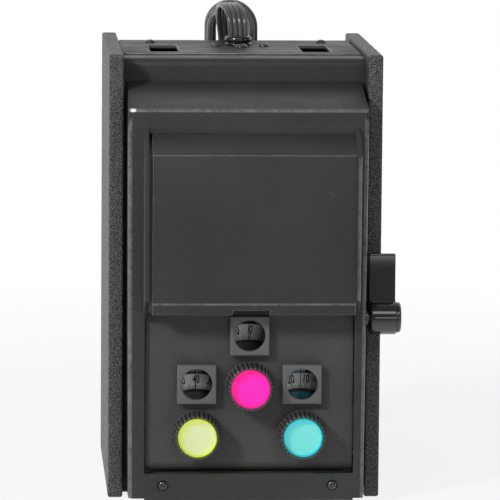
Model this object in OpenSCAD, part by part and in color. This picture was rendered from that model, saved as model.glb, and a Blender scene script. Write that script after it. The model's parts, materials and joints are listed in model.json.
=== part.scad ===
// Color head for a photographic enlarger.
// The origin is on the optical axis, at the seat under the base plate. +Z is up and
// the controls face -Y. Depths are given as distances behind the side panels' front edges.

/* [Case] */
// Width over the two side panels
case_w = 170; // [166:1:176]
// Height of the side panels
case_h = 278; // [276:1:282]
// Depth of the side panels
case_d = 180; // [176:1:190]
// Thickness of one side panel
panel_t = 9.2; // [8:0.1:11]
// Distance from the side panels' front edges back to the optical axis
axis_back = 110; // [108:1:112]
// Thickness of the chassis sheet
sheet_t = 1.2; // [1:0.1:1.5]
// Depth of the chassis front wall behind the side panels' front edges
chassis_front = 20; // [20:1:21]
// Depth of the chassis rear edge
chassis_rear = 152; // [151:1:153]
// Height of the chassis top sheet
chassis_top = 274.2; // [274:0.1:275]

/* [Front cover] */
// How far the cover's face stands in front of the side panels
cover_out = 28; // [27:0.5:29]
// Half width of the cover at its top edge
cover_half_top = 74.2; // [73.8:0.1:74.6]
// Half width of the cover at its bottom edge
cover_half_low = 73; // [72.8:0.1:73.6]
// Height of the cover's front top edge
cover_edge_z = 246.6; // [244:0.1:248]
// Height at which the sloped top meets the chassis
cover_back_z = 260; // [256:0.5:262]
// Thickness of the cover
cover_t = 1.6; // [1.4:0.1:1.8]
// How far the raised panel stands in front of the side panels
pad_out = 47; // [45:0.5:48]

/* [Controls] */
// Sideways place of the middle knob
control_x = 1.5; // [1:0.1:2]
// Distance from the middle knob to each outer knob, sideways
knob_gap = 32.6; // [32:0.1:33]
// Height of the two outer knob shafts
low_z = 45.3; // [44.5:0.1:46]
// Height of the middle knob shaft
high_z = 75.6; // [75:0.1:75.8]
// Height of each dial window above its knob shaft
window_rise = 31; // [30.5:0.1:31.2]
// Radius of a knob at its skirt
knob_r = 15; // [14:0.1:15.2]
// Radius of a coloured knob cap
cap_r = 12; // [11:0.1:12.2]
// Radius of a control shaft
shaft_r = 3; // [3:0.1:3.2]
// Radius of a dial disc
dial_r = 36.5; // [36:0.1:36.5]

/* [Light path] */
// Height of the lamp beam
beam_z = 150; // [149:0.5:151]
// Radius of the lamp beam's aperture
beam_r = 15; // [14:0.5:15]
// Half width of the light exit in the base
exit_half = 43; // [40:1:43]
// Half of the base bolt spacing, across
bolt_x = 58; // [56:1:60]
// Half of the base bolt spacing, front to back
bolt_y = 50; // [48:1:52]
// Radius of a base bolt hole
bolt_r = 2.6; // [2.2:0.1:2.7]

/* [Lead] */
// Width of the flat four-core lead
lead_w = 12.8; // [12.8:0.1:12.8]
// Thickness of the lead
lead_t = 3.2; // [3.2:0.1:3.2]

/* [Hidden] */
eps = 0.01;
bore_slack = 0.04;                       // radial clearance of a running fit
half_w = case_w / 2;
inner_half = half_w - panel_t;           // inner face of a side panel
gear_slack = 0.16;                       // backlash, measured along the pitch line

// Colours as the object shows them
case_black = [0.16, 0.16, 0.16];
metal_black = [0.22, 0.22, 0.22];
part_grey = [0.42, 0.42, 0.42];
steel = [0.62, 0.62, 0.62];

// Places across, for the yellow, magenta and cyan controls
control_xs = [control_x - knob_gap, control_x, control_x + knob_gap];
control_zs = [low_z, high_z, low_z];
plate_front = -24.5;                     // front face of the control plate
dial_depths = [for (d = [4.6, 8.2, 6.4]) plate_front + d];     // front face of each dial disc
slide_depths = [27, 34, 41];             // middle of each filter slide
read_turn = [60, 0, 20];                 // turn from zero to the setting shown, degrees
pinion_teeth = 20;
pinion_module = 0.75;
pinion_r = pinion_teeth * pinion_module / 2;

// Lever across the right side of the cover
lever_depth = -14;
lever_z = 116;
sector_module = 1;
sector_r = 25;
sector_x = 68.2;
sector_t = 2.5;

plate_t = 1.5;
opening_x = 1.6;                          // middle of the control opening
opening_half = 64.8;                      // half its width
strip_top = 20.3;                        // top of the cover's bottom strip
lip_z = 121.7;                           // lower edge of the raised panel
bezel_side = 24.2;
bezel_t = 5.5;
window_r = 9.75;
slide_t = 1.6;
carrier_half = 25;
carrier_low = 84.4;                      // bottom of a filter carrier at zero
carrier_high = 134.4;
plate_z = chassis_top + 1;               // top face of the top plate

function yf(d) = d - axis_back;          // Y of a place d behind the side panels' front edges
function mix(a, b, f) = a + (b - a) * f;
// Points of an arc about (x, z), from angle a0 to angle a1
function arc(x, z, r, a0, a1) =
    [for (k = [0:6]) let (a = mix(a0, a1, k / 6)) [x + r * cos(a), z + r * sin(a)]];

// ---------- general shapes ----------

// Solid of an outline drawn in depth and height, stretched across from x0 to x1
module across(x0, x1) {
    translate([x0, yf(0), 0]) rotate([90, 0, 90]) linear_extrude(x1 - x0) children();
}

// Solid of an outline drawn across and in height, stretched from depth d0 to depth d1
module deep(d0, d1) {
    translate([0, yf(d1), 0]) rotate([90, 0, 0]) linear_extrude(d1 - d0) children();
}

// Box from one corner to the other, with depths for Y
module block(a, b) {
    translate([a[0], yf(a[1]), a[2]]) cube([b[0] - a[0], b[1] - a[1], b[2] - a[2]]);
}

// Cylinder along Y at a place across and in height
module rod(x, z, r, d0, d1, fn = 48) {
    translate([x, yf(d0), z]) rotate([-90, 0, 0]) cylinder(r = r, h = d1 - d0, $fn = fn);
}

// Ring along Y
module tube(x, z, r_out, r_in, d0, d1, fn = 48) {
    difference() {
        rod(x, z, r_out, d0, d1, fn);
        rod(x, z, r_in, d0 - 1, d1 + 1, fn);
    }
}

// Cross-head screw standing on a face at the origin, head up, in steel
module screw(head_r, head_h, shank_r, shank_l) {
    difference() {
        union() {
            translate([0, 0, -shank_l]) cylinder(r = shank_r, h = shank_l + eps, $fn = 24);
            cylinder(r = head_r, h = head_h * 0.55, $fn = 32);
            translate([0, 0, head_h * 0.55])
                cylinder(r1 = head_r, r2 = head_r * 0.62, h = head_h * 0.45, $fn = 32);
        }
        for (a = [0, 90]) rotate(a)
            translate([-head_r * 0.55, -head_r * 0.13, head_h * 0.45])
                cube([head_r * 1.1, head_r * 0.26, head_h]);
    }
}

function involute(a) = tan(a) * 180 / PI - a;

// Half the angle that a tooth takes at radius r, for a gear of pitch radius pitch
function tooth_half(r, pitch, n) = let (base = pitch * cos(20), a = r > base ? acos(base / r) : 0)
    90 / n - gear_slack / pitch * 45 / PI + involute(20) - involute(a);

// Corners of one tooth that points along angle c
function tooth(c, pitch, m, n) = let (root = pitch - 1.25 * m, tip = pitch + 0.92 * m,
    rs = [root, max(root + 0.01, pitch * cos(20)), pitch, (pitch + tip) / 2, tip]) concat(
    [for (r = rs) let (h = tooth_half(r, pitch, n)) r * [cos(c - h), sin(c - h)]],
    [for (i = [4:-1:0]) let (h = tooth_half(rs[i], pitch, n)) rs[i] * [cos(c + h), sin(c + h)]]);

// Rack teeth along +Y of the drawing from tooth a to tooth b, pointing along +X from the pitch line
module rack_teeth(m, a, b) {
    pitch = PI * m;
    half = pitch / 4 - gear_slack / 4;
    slope = tan(20);
    for (k = [a:b]) translate([0, (k + 0.5) * pitch])
        polygon([[-1.25 * m - 0.02, -half - 1.25 * m * slope], [0.92 * m, -half + 0.92 * m * slope],
            [0.92 * m, half - 0.92 * m * slope], [-1.25 * m - 0.02, half + 1.25 * m * slope]]);
}

// ---------- case ----------

module side_panel(x0) {
    corner = 2;
    color(case_black) difference() {
        across(x0, x0 + panel_t) {
            translate([corner, 0]) square([case_d - 2 * corner, case_h]);
            translate([0, corner]) square([case_d, case_h - 2 * corner]);
            for (d = [corner, case_d - corner], z = [corner, case_h - corner])
                translate([d, z]) circle(corner, $fn = 32);
        }
        for (p = panel_screw_places) translate([x0 > 0 ? x0 - 1 : x0 + panel_t - 6, yf(p[0]), p[1]])
            rotate([0, 90, 0]) cylinder(r = 1.55, h = 7, $fn = 24);
    }
}
panel_screw_places = [[38, 20], [138, 20], [38, 200], [138, 256]];

module chassis_outline(t) {
    bend = 5 - t;
    polygon(concat([[chassis_front + t, 3 - t]], arc(chassis_front + 5, chassis_top - 5, bend, 180, 90),
        [[chassis_rear + t, chassis_top - t], [chassis_rear + t, 3 - t]]));
}

module chassis() {
    color(metal_black) difference() {
        across(-inner_half, inner_half) chassis_outline(0);
        across(-inner_half + sheet_t, inner_half - sheet_t) chassis_outline(sheet_t);
        rod(0, beam_z, beam_r + 1, chassis_front - 1, chassis_front + 2);
        for (i = [0:2]) rod(control_xs[i], control_zs[i], 4.5, chassis_front - 1, chassis_front + 2);
        for (s = [-1, 1]) {
            for (z = [196:14:238])
                block([s * 40 - 18, chassis_front - 1, z], [s * 40 + 18, chassis_front + 2, z + 7]);
            block([s * 48.2 - 9, 63, chassis_top - 2], [s * 48.2 + 9, 107, chassis_top + 1]);
            for (p = panel_screw_places) translate([s * (inner_half - 2), yf(p[0]), p[1]])
                rotate([0, 90, 0]) cylinder(r = 1.6, h = 4, center = true, $fn = 24);
        }
        for (p = standoff_places) rod(p[0], p[1], 1.6, chassis_front - 1, chassis_front + 2);
        for (p = lamp_posts) rod(p[0], p[1], 1.6, chassis_front - 1, chassis_front + 2);
        translate([gland[0], yf(gland[1]), chassis_top - 3]) cylinder(r = 7, h = 6, $fn = 48);
        for (p = concat(top_screw_places, [earth_screw_place]))
            translate([p[0], yf(p[1]), chassis_top - 3]) cylinder(r = 1.55, h = 6, $fn = 24);
        rod(-50, 222, 4, chassis_front - 1, chassis_front + 2);
    }
}
standoff_places = [[-56, 78], [59, 78]];
top_screw_places = [[-55, 130], [56, 132], [-14, 101], [17, 101.5]];
earth_screw_place = [1.9, 92];
gland = [1, 112.5];

module top_plate() {
    color([0.36, 0.36, 0.36]) difference() {
        block([-74.9, 45, chassis_top], [74.9, 151.5, plate_z]);
        for (s = [-1, 1]) block([s * 48.2 - 9.2, 59, chassis_top - 1], [s * 48.2 + 9.2, 111, plate_z + 1]);
        translate([gland[0], yf(gland[1]), chassis_top - 1]) cylinder(r = 7, h = 4, $fn = 48);
        for (p = concat(top_screw_places, [earth_screw_place]))
            translate([p[0], yf(p[1]), chassis_top - 1]) cylinder(r = 1.6, h = 4, $fn = 24);
    }
}

module rear_outline(t) {
    polygon([[chassis_rear - (t > 0 ? 1 : 0), 3 - t], [170 - t, 3 - t], [170 - t, 262 - t * 0.6],
        [163 - t * 0.6, 270.5 - t], [chassis_rear - (t > 0 ? 1 : 0), 273 - t]]);
}

module rear_cover() {
    color(metal_black) difference() {
        across(-inner_half + 0.3, inner_half - 0.3) rear_outline(0);
        across(-inner_half + 0.3 + sheet_t, inner_half - 0.3 - sheet_t) rear_outline(sheet_t);
        // louvre slots in front of the fan, and low down for the air that comes in
        for (z = [196:9:250]) block([-33, 168, z], [33, 172, z + 4.2]);
        for (z = [14:9:41]) block([-45, 168, z], [45, 172, z + 4.2]);
        for (x = [-66, 66], z = [12, 250]) rod(x, z, 1.6, 168, 172);
        for (z = clip_screw_zs) rod(hank_x, z, 1.6, 168, 172);
    }
}

module base_plate() {
    color(metal_black) difference() {
        block([-inner_half, chassis_front, 0], [inner_half, 170, 3]);
        block([-exit_half, axis_back - exit_half, -1], [exit_half, axis_back + exit_half, 4]);
        for (x = [-bolt_x, bolt_x], y = [-bolt_y, bolt_y])
            translate([x, y, -1]) cylinder(r = bolt_r, h = 5, $fn = 48);
    }
}

// Foot in front of the chassis, with one lip for the cover and one for the control plate
module front_bracket() {
    color(metal_black) difference() {
        union() {
            block([-60, -26.4, 3], [64, chassis_front, 4.5]);
            block([-60, -26.4, 3], [64, -24.9, 17]);
            block([-58, plate_front + 3, 4], [62, plate_front + 4, 25]);
        }
        for (x = cover_screw_xs) rod(x, cover_screw_z, 1.5, -28, -22);
    }
}
cover_screw_xs = [-51.6, 53.6];
cover_screw_z = 12.6;

// ---------- front cover ----------

module cover_side(t) {
    polygon([[chassis_front + t, 4.6 - t], [t - cover_out, 4.6 - t], [t - cover_out, cover_edge_z - t * 0.8],
        [chassis_front + t, cover_back_z - t * 0.8]]);
}

module cover_front(t) {
    polygon([[-cover_half_low + t, 0], [cover_half_low - t, 0], [cover_half_top - t, cover_edge_z],
        [cover_half_top - 1 - t, cover_back_z + 1], [-cover_half_top + 1 + t, cover_back_z + 1],
        [-cover_half_top + t, cover_edge_z]]);
}

// Plan of the cover: the sides draw in by 1.2 mm towards the back
module cover_plan(t) {
    polygon([[-cover_half_top + t, -cover_out - 1], [cover_half_top - t, -cover_out - 1],
        [cover_half_top - 1.2 - t, chassis_front + 2], [-cover_half_top + 1.2 + t, chassis_front + 2]]);
}

module cover_solid(t) {
    intersection() {
        across(-80, 80) cover_side(t);
        deep(-cover_out - 1, chassis_front + 1) cover_front(t);
        translate([0, yf(0), -5]) linear_extrude(300) cover_plan(t);
    }
}

// One cheek beside the raised panel
module cheek(x0, x1) {
    across(x0, x1) polygon([[-cover_out + cover_t, 236], [-cover_out, 236], [-pad_out - 1.5, 219.2],
        [-pad_out - 1.5, 131], [-cover_out, 117.5], [-cover_out + cover_t, 117.5]]);
}

module front_cover() {
    left = opening_x - opening_half;
    right = opening_x + opening_half;
    color(case_black) difference() {
        union() {
            difference() {
                cover_solid(0);
                cover_solid(cover_t);
                block([left, -cover_out - 2, strip_top], [right, -20, 231.5]);
            }
            cheek(left - 1.1, left + 1.8);
            cheek(right - 0.8, right + 2.1);
            // turned-in walls round the control opening
            block([left - 1.5, -cover_out, strip_top - 1.5], [left, plate_front - 1, 118]);
            block([right, -cover_out, strip_top - 1.5], [right + 1.5, plate_front - 1, 118]);
            block([left - 1.5, -cover_out, strip_top - 1.5], [right + 1.5, plate_front - 1, strip_top]);
            // tongue below the strip
            block([left, -cover_out, 3.2], [right, -cover_out + cover_t, 6]);
            // tab that carries the inner end of the lever shaft
            block([right, plate_front - 2, lever_z - 7], [right + 1.5, lever_depth + 6, lever_z + 7]);
        }
        for (x = cover_screw_xs) {
            rod(x, cover_screw_z, 3.5, -cover_out - 1, -cover_out + 0.8);
            rod(x, cover_screw_z, 1.7, -cover_out - 1, -24);
        }
        translate([right - 1, yf(lever_depth), lever_z]) rotate([0, 90, 0]) cylinder(r = 3, h = 4, $fn = 32);
        translate([cover_half_top - 4, yf(lever_depth), lever_z]) rotate([0, 90, 0])
            cylinder(r = 4.2, h = 8, $fn = 48);
    }
}

// Bent panel between the cheeks: slope, flat face, chamfer and the ledge that runs back under it
module name_panel() {
    t = 1.5;
    color(case_black) difference() {
        across(opening_x - opening_half + 3.7, opening_x + opening_half - 1.5)
            polygon([[-cover_out, 231.4], [-pad_out, 220.4], [-pad_out, 128.7], [-44, lip_z],
                [plate_front + plate_t, lip_z], [plate_front + plate_t, lip_z + t], [-43, lip_z + t],
                [-pad_out + t, 129], [-pad_out + t, 219.5], [-cover_out + 1.6, 230.2]]);
        // notch over the middle window
        block([control_x - notch_w / 2, -pad_out - 2, lip_z - 1],
            [control_x + notch_w / 2, plate_front - 3, lip_z + 3]);
    }
}

notch_w = 22.6;

// Quarter bend at the plate's foot about (depth d, height z): deep and tall are its two radii
function foot_bend(d, z, deep, tall, a0, a1) =
    [for (p = arc(0, 0, 1, a0, a1)) [d + deep * p[0], z + tall * p[1]]];

// Flat plate whose lower end bends back
module control_plate() {
    bend = 3;
    tall = 5.3;
    low = 20.8;
    color(metal_black) difference() {
        across(opening_x - opening_half + 0.3, opening_x + opening_half - 0.3) polygon(concat(
            [[plate_front + plate_t, lip_z - 0.1], [plate_front, lip_z - 0.1]],
            foot_bend(plate_front + bend, low + tall, bend, tall, 180, 270),
            foot_bend(plate_front + bend, low + tall, bend - plate_t, tall - plate_t, 270, 180)));
        for (i = [0:2]) {
            rod(control_xs[i], control_zs[i], 4.5, plate_front - 1, plate_front + 3);
            rod(control_xs[i], control_zs[i] + window_rise, window_r, plate_front - 1, plate_front + 3);
        }
    }
}

// Hexagonal posts welded to the back of the control plate, with studs into the chassis
module plate_standoffs() {
    color(steel) for (p = standoff_places) {
        rod(p[0], p[1], 2.6, plate_front + plate_t, chassis_front, 6);
        rod(p[0], p[1], 1.5, chassis_front - eps, chassis_front + sheet_t + 2, 24);
    }
}

// ---------- dial windows ----------

module dial_bezels() {
    color(part_grey) for (i = [0:2]) translate([control_xs[i], 0, control_zs[i] + window_rise]) difference() {
        block([-bezel_side / 2, plate_front - bezel_t, -bezel_side / 2],
            [bezel_side / 2, plate_front, bezel_side / 2]);
        rod(0, 0, window_r - 0.5, plate_front - bezel_t - 1, plate_front + 1, 64);
        rod(0, 0, window_r, plate_front - bezel_t - 1, plate_front - 2, 64);
    }
}

// Domed lens, flat at the back
module window_lenses() {
    rim = 0.8;
    crown = 2.6;
    r = window_r - 0.05;
    ball = (r * r + crown * crown) / (2 * crown);
    color([0.85, 0.88, 0.9, 0.35]) for (i = [0:2])
        translate([control_xs[i], yf(plate_front - 2), control_zs[i] + window_rise]) rotate([90, 0, 0])
            rotate_extrude($fn = 64) polygon(concat([[0, 0], [r, 0]], [for (k = [8:-1:0])
                let (x = r * k / 8) [x, rim + crown - ball + sqrt(ball * ball - x * x)]]));
}

// Upright hair line behind each lens
module window_cursors() {
    color([0.05, 0.05, 0.05]) for (i = [0:2])
        block([control_xs[i] - 0.95, plate_front - 1.9, control_zs[i] + window_rise - 8.9],
            [control_xs[i] - 0.45, plate_front - 1.5, control_zs[i] + window_rise + 8.9]);
}

// ---------- knob shafts ----------

// Six flanged bushes, alike: three in the control plate and three in the chassis wall
module shaft_bushes() {
    color(steel) for (i = [0:2], d = [plate_front, chassis_front]) difference() {
        union() {
            rod(control_xs[i], control_zs[i], 6, d - 1.2, d, 48);
            rod(control_xs[i], control_zs[i], 4.5, d - eps, d + 3, 48);
        }
        rod(control_xs[i], control_zs[i], shaft_r + bore_slack, d - 3, d + 5, 48);
    }
}

knob_back = plate_front - 2.5;
knob_l = 17.7;
cap_seat = 13.2;                          // depth of the cap's seat, from the back of the knob
shaft_seat = 12;                          // depth of the blind bore for the shaft
knob_front_r = 13.7;

// Fluted knob: a skirt that tapers to the front, a recess for the cap, and a bore for the shaft
module knob(i) {
    flutes = 30;
    color([0.1, 0.1, 0.1]) translate([control_xs[i], yf(knob_back), control_zs[i]]) rotate([90, 0, 0])
        difference() {
            union() {
                cylinder(r = knob_r, h = 2.2, $fn = 96);
                translate([0, 0, 2.2]) cylinder(r1 = knob_r - 0.3, r2 = knob_front_r, h = 14.8, $fn = 96);
                translate([0, 0, 17])
                    cylinder(r1 = knob_front_r, r2 = knob_front_r - 0.5, h = knob_l - 17, $fn = 96);
            }
            for (k = [0:flutes - 1]) rotate(k * 360 / flutes)
                translate([knob_r - 0.1, 0, 2.2]) rotate([0, -3.9, 0]) cylinder(r = 0.75, h = 20, $fn = 16);
            translate([0, 0, cap_seat]) cylinder(r = cap_r, h = 6, $fn = 96);
            translate([0, 0, -1]) cylinder(r = shaft_r, h = shaft_seat + 1, $fn = 48);
        }
}

// Coloured cup let into the knob's front, its face a little way in
module cap(i, tint) {
    color(tint) translate([control_xs[i], yf(knob_back - cap_seat), control_zs[i]]) rotate([90, 0, 0])
        difference() {
            cylinder(r = cap_r, h = knob_l - cap_seat, $fn = 96);
            translate([0, 0, 1.2]) cylinder(r = cap_r - 0.5, h = 6, $fn = 96);
        }
}

// Shaft with its pinion behind the chassis wall
module control_shaft(i) {
    d = slide_depths[i];
    color(steel) {
        rod(control_xs[i], control_zs[i], shaft_r, knob_back - shaft_seat, d + 3, 48);
        deep(d - 2, d + 2) translate([control_xs[i], control_zs[i]]) difference() {
            polygon([for (k = [0:pinion_teeth - 1])
                each tooth(180 + k * 360 / pinion_teeth, pinion_r, pinion_module, pinion_teeth)]);
            circle(shaft_r - 0.2, $fn = 48);
        }
    }
}

// Flat dial on a hub
module dial(i, tint) {
    d = dial_depths[i];
    color(tint) difference() {
        union() {
            rod(control_xs[i], control_zs[i], dial_r, d, d + 1, 128);
            rod(control_xs[i], control_zs[i], 6, d + 1 - eps, d + 5, 48);
        }
        rod(control_xs[i], control_zs[i], shaft_r, d - 1, d + 6, 48);
    }
}

// ---------- filters ----------

function lift(i) = read_turn[i] * PI / 180 * pinion_r;     // how far a slide is up at the setting shown

// Carrier frame with ears in the guides, an arm to its rack, and the rack beside the pinion
module slide(i) {
    d = slide_depths[i];
    pitch_x = control_xs[i] - pinion_r;
    bar = pitch_x - 1.25 * pinion_module;
    color([0.7, 0.7, 0.68]) deep(d - slide_t / 2, d + slide_t / 2) difference() {
        union() {
            translate([-carrier_half, carrier_low + lift(i)])
                square([2 * carrier_half, carrier_high - carrier_low]);
            for (s = [-1, 1]) translate([s * 21.2 - 3.8, carrier_low + lift(i)]) square([7.6, 62]);
            // arm to the rack, then the rack's bar
            translate([min(bar - 6, 0), carrier_low + lift(i)])
                square([max(bar, 0) - min(bar - 6, 0), 7]);
            translate([bar - 6, control_zs[i] - 38 + lift(i)])
                square([6, carrier_low + 7 - control_zs[i] + 38]);
            translate([pitch_x, control_zs[i]]) rack_teeth(pinion_module,
                -ceil((38 - lift(i)) / PI / pinion_module) + 1, floor((4 + lift(i)) / PI / pinion_module));
        }
        translate([-20, carrier_low + 8 + lift(i)]) square([40, 38]);
    }
}

// Square of coated glass clipped behind the carrier's window
module filter_glass(i, tint) {
    d = slide_depths[i] + slide_t / 2;
    color(tint) block([-22, d, carrier_low + 5.5 + lift(i)], [22, d + 1.1, carrier_low + 48.5 + lift(i)]);
}

// Two grooved posts behind the chassis wall
module filter_guides() {
    color(part_grey) for (s = [0, 1]) mirror([s, 0, 0]) difference() {
        block([23.6, chassis_front + sheet_t, 128], [31, 46, 184]);
        for (d = slide_depths) block([20, d - slide_t / 2 - 0.3, 120], [25.3, d + slide_t / 2 + 1.5, 190]);
    }
}

module attenuator_guides() {
    color(part_grey) for (s = [0, 1]) mirror([s, 0, 0]) difference() {
        block([22.6, 12.4, 134], [29, chassis_front, 184]);
        block([20, 13.2, 120], [24.3, 15, 190]);
    }
}

// ---------- light lever ----------

// Paddle and hub beside the cover
module light_lever() {
    hub_x = 76.6;
    hub_r = 10.6;
    color([0.08, 0.08, 0.08]) {
        translate([hub_x, yf(lever_depth), lever_z]) rotate([0, 90, 0]) {
            cylinder(r = hub_r, h = 16.4, $fn = 64);
            translate([0, 0, 16.4]) cylinder(r = 9.5, h = 2.1, $fn = 64);
            translate([0, 0, 18.5]) cylinder(r1 = 9.5, r2 = 8.3, h = 1, $fn = 64);
        }
        // arm behind the axis, thinner at its tip
        across(hub_x - 0.4, hub_x + 16.1) translate([lever_depth, 0]) polygon([[-1, lever_z + 8],
            [-0.6, lever_z + 39.3], [0, lever_z + 39.9], [2.4, lever_z + 39.9], [3, lever_z + 39.3],
            [6, lever_z + 8]]);
        // shaft through the cover to the inner tab
        translate([opening_x + opening_half + 0.1, yf(lever_depth), lever_z]) rotate([0, 90, 0])
            cylinder(r = 2.2, h = hub_x - opening_x - opening_half + 1, $fn = 48);
    }
}

// Flanged bush in the cover's side, and a plain bush in the inner tab
module lever_bushes() {
    color(steel) translate([0, yf(lever_depth), lever_z]) rotate([0, 90, 0]) {
        difference() {
            union() {
                translate([0, 0, 71.6]) cylinder(r = 4.15, h = 2.6, $fn = 48);
                translate([0, 0, 74.3]) cylinder(r = 4.9, h = 1.3, $fn = 48);
                translate([0, 0, 74.1]) cylinder(r = 4.15, h = 0.3, $fn = 48);
            }
            translate([0, 0, 70]) cylinder(r = 2.2 + bore_slack, h = 8, $fn = 48);
        }
        translate([0, 0, opening_x + opening_half]) difference() {
            cylinder(r = 2.98, h = 1.5, $fn = 48);
            translate([0, 0, -1]) cylinder(r = 2.2 + bore_slack, h = 4, $fn = 48);
        }
    }
}

// Toothed quarter on the lever's shaft
module lever_sector() {
    n = 2 * sector_r / sector_module;
    color(steel) translate([sector_x, yf(lever_depth), lever_z]) rotate([90, 0, 90]) linear_extrude(sector_t)
        difference() {
            union() {
                polygon(concat([[-3, 3]],
                    [for (k = [-12:1]) each tooth(k * 360 / n, sector_r, sector_module, n)]));
                circle(5.2, $fn = 48);
            }
            circle(2.2, $fn = 48);
            rotate(-40) translate([15, 0]) circle(4.5, $fn = 32);
        }
}

// Pierced blade with ears in its guides, an arm, and the rack that the quarter drives
module attenuator_slide() {
    plane = 13.5;
    pitch_d = lever_depth + sector_r;
    root = 1.25 * sector_module;
    color([0.55, 0.55, 0.55]) {
        deep(plane, plane + 1.2) difference() {
            union() {
                translate([-24, 84]) square([48, 48]);
                for (s = [-1, 1]) translate([s * 21 - 3, 84]) square([6, 61]);
                translate([0, 84]) square([sector_x + sector_t, 8]);
                translate([sector_x - 6, 78]) square([6 + sector_t, 43]);
            }
            for (x = [-12:6:12], z = [98:6:122]) translate([x, z]) circle(1.7, $fn = 24);
        }
        across(sector_x, sector_x + sector_t) {
            translate([pitch_d + root, 78]) square([plane + 1.2 - pitch_d - root, 43]);
            translate([pitch_d, lever_z]) mirror([1, 0]) rack_teeth(sector_module, -12, 0);
        }
    }
}

// ---------- lamp and mixing chamber ----------

lamp_rim = 10;                            // depth of the reflector's front rim
lamp_posts = [[-34, 142], [34, 142], [-34, 180], [34, 180]];

// Quartz lamp: a glass reflector with its capsule inside
module lamp() {
    color([0.8, 0.82, 0.85]) translate([0, yf(lamp_rim), beam_z]) rotate([90, 0, 0]) {
        rotate_extrude($fn = 72) polygon([[23.6, 0], [25.5, 0], [25.5, 2.5], [24.2, 2.5], [21.8, 12],
            [15, 21], [8.5, 25], [8.5, 35], [0, 35], [0, 26.5], [6.5, 24], [14, 19.4], [20.2, 11.2]]);
        translate([0, 0, 8]) cylinder(r = 4, h = 20, $fn = 32);
        translate([0, 0, 8]) sphere(4, $fn = 32);
        for (x = [-2.6, 2.6]) translate([x, 0, 35 - eps]) cylinder(r = 0.8, h = 5, $fn = 24);
    }
}

module lamp_socket() {
    color([0.88, 0.86, 0.8]) difference() {
        block([-9, lamp_rim - 46, beam_z - 7], [9, lamp_rim - 35, beam_z + 7]);
        for (x = [-2.6, 2.6]) rod(x, beam_z, 0.85, lamp_rim - 41, lamp_rim - 34, 24);
    }
}

// Plate that carries the reflector's rim on four posts, with an arm behind for the socket
module lamp_bracket() {
    color(steel) {
        difference() {
            block([-40, lamp_rim - 3.6, 120], [40, lamp_rim - 2.5, 186]);
            rod(0, beam_z, 24.6, lamp_rim - 6, lamp_rim, 72);
        }
        for (p = lamp_posts) {
            rod(p[0], p[1], 3, lamp_rim - 2.5 - eps, chassis_front, 32);
            rod(p[0], p[1], 1.5, chassis_front - eps, chassis_front + 3, 24);
        }
        for (s = [-1, 1]) block([s * 29 - 6, lamp_rim - 46, 186 - eps], [s * 29 + 6, lamp_rim - 2.5, 187.2]);
        block([-35, lamp_rim - 47.2, 143], [35, lamp_rim - 46, 187.2]);
    }
}

module heat_glass() {
    color([0.75, 0.9, 0.85, 0.4]) rod(0, beam_z, 19, 16.4, 19.8, 64);
}

module heat_glass_ring() {
    color(steel) difference() {
        rod(0, beam_z, 22, 15.6, chassis_front, 64);
        rod(0, beam_z, 19.1, 16.2, chassis_front + 1, 64);
        rod(0, beam_z, 17.6, 15, 17, 64);
    }
}

module light_tunnel() {
    color(part_grey) tube(0, beam_z, 18.5, 17, 46, 62, 64);
}

module chamber_outline(t) {
    polygon([[62 + t, 3 + (t > 0 ? -1 : 0)], [158 - t, 3 + (t > 0 ? -1 : 0)], [158 - t, 118 - t * 0.4],
        [104 - t * 0.7, 196 - t], [62 + t, 196 - t]]);
}

module mixing_chamber() {
    color([0.6, 0.6, 0.58]) difference() {
        across(-47, 47) chamber_outline(0);
        across(-47 + sheet_t, 47 - sheet_t) chamber_outline(sheet_t);
        rod(0, beam_z, 17, 61, 64, 64);
    }
}

// White foam boards inside the chamber
module chamber_lining() {
    color([0.95, 0.95, 0.93]) difference() {
        intersection() {
            across(-45.6, 45.6) chamber_outline(1.5);
            block([-50, 60, 10.2], [50, 160, 200]);
        }
        intersection() {
            across(-41, 41) chamber_outline(6);
            block([-50, 60, 10], [50, 160, 200]);
        }
        rod(0, beam_z, 16.5, 61, 70, 64);
    }
}

// Opal sheet on a square frame over the exit
module diffuser() {
    color([0.97, 0.97, 0.95]) {
        block([-45.5, axis_back - 45.5, 7], [45.5, axis_back + 45.5, 10]);
        difference() {
            block([-45.5, axis_back - 45.5, 3], [45.5, axis_back + 45.5, 7 + eps]);
            block([-exit_half, axis_back - exit_half, 2], [exit_half, axis_back + exit_half, 7]);
        }
    }
}

// ---------- cooling fan ----------

fan_z = 224;
fan_front = 148;

module fan_frame() {
    color([0.12, 0.12, 0.12]) difference() {
        union() {
            difference() {
                block([-35, fan_front, fan_z - 35], [35, 168.8, fan_z + 35]);
                rod(0, fan_z, 32.5, fan_front - 1, 170, 72);
            }
            rod(0, fan_z, 12, 165.3, 168.8, 48);
            for (a = [45:90:315]) translate([0, 0, fan_z]) rotate([0, a, 0])
                block([0, 165.3, -1.5], [34, 168.8, 1.5]);
        }
        rod(0, fan_z, 1.5 + bore_slack, 160, 170, 32);
        for (x = [-30.5, 30.5], z = [-30.5, 30.5]) rod(x, fan_z + z, 1.8, fan_front - 1, 170, 24);
    }
}

// Hub with seven pitched blades and the spindle in the frame's hub
module fan_rotor() {
    color([0.2, 0.2, 0.2]) {
        rod(0, fan_z, 12, fan_front + 2, 164.6, 48);
        rod(0, fan_z, 1.5, 164, 168, 32);
        for (k = [0:6]) translate([0, yf(fan_front + 8.5), fan_z]) rotate([0, k * 360 / 7, 0])
            rotate([35, 0, 0]) translate([11, -0.8, -7]) cube([19.6, 1.6, 14]);
    }
}

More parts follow.
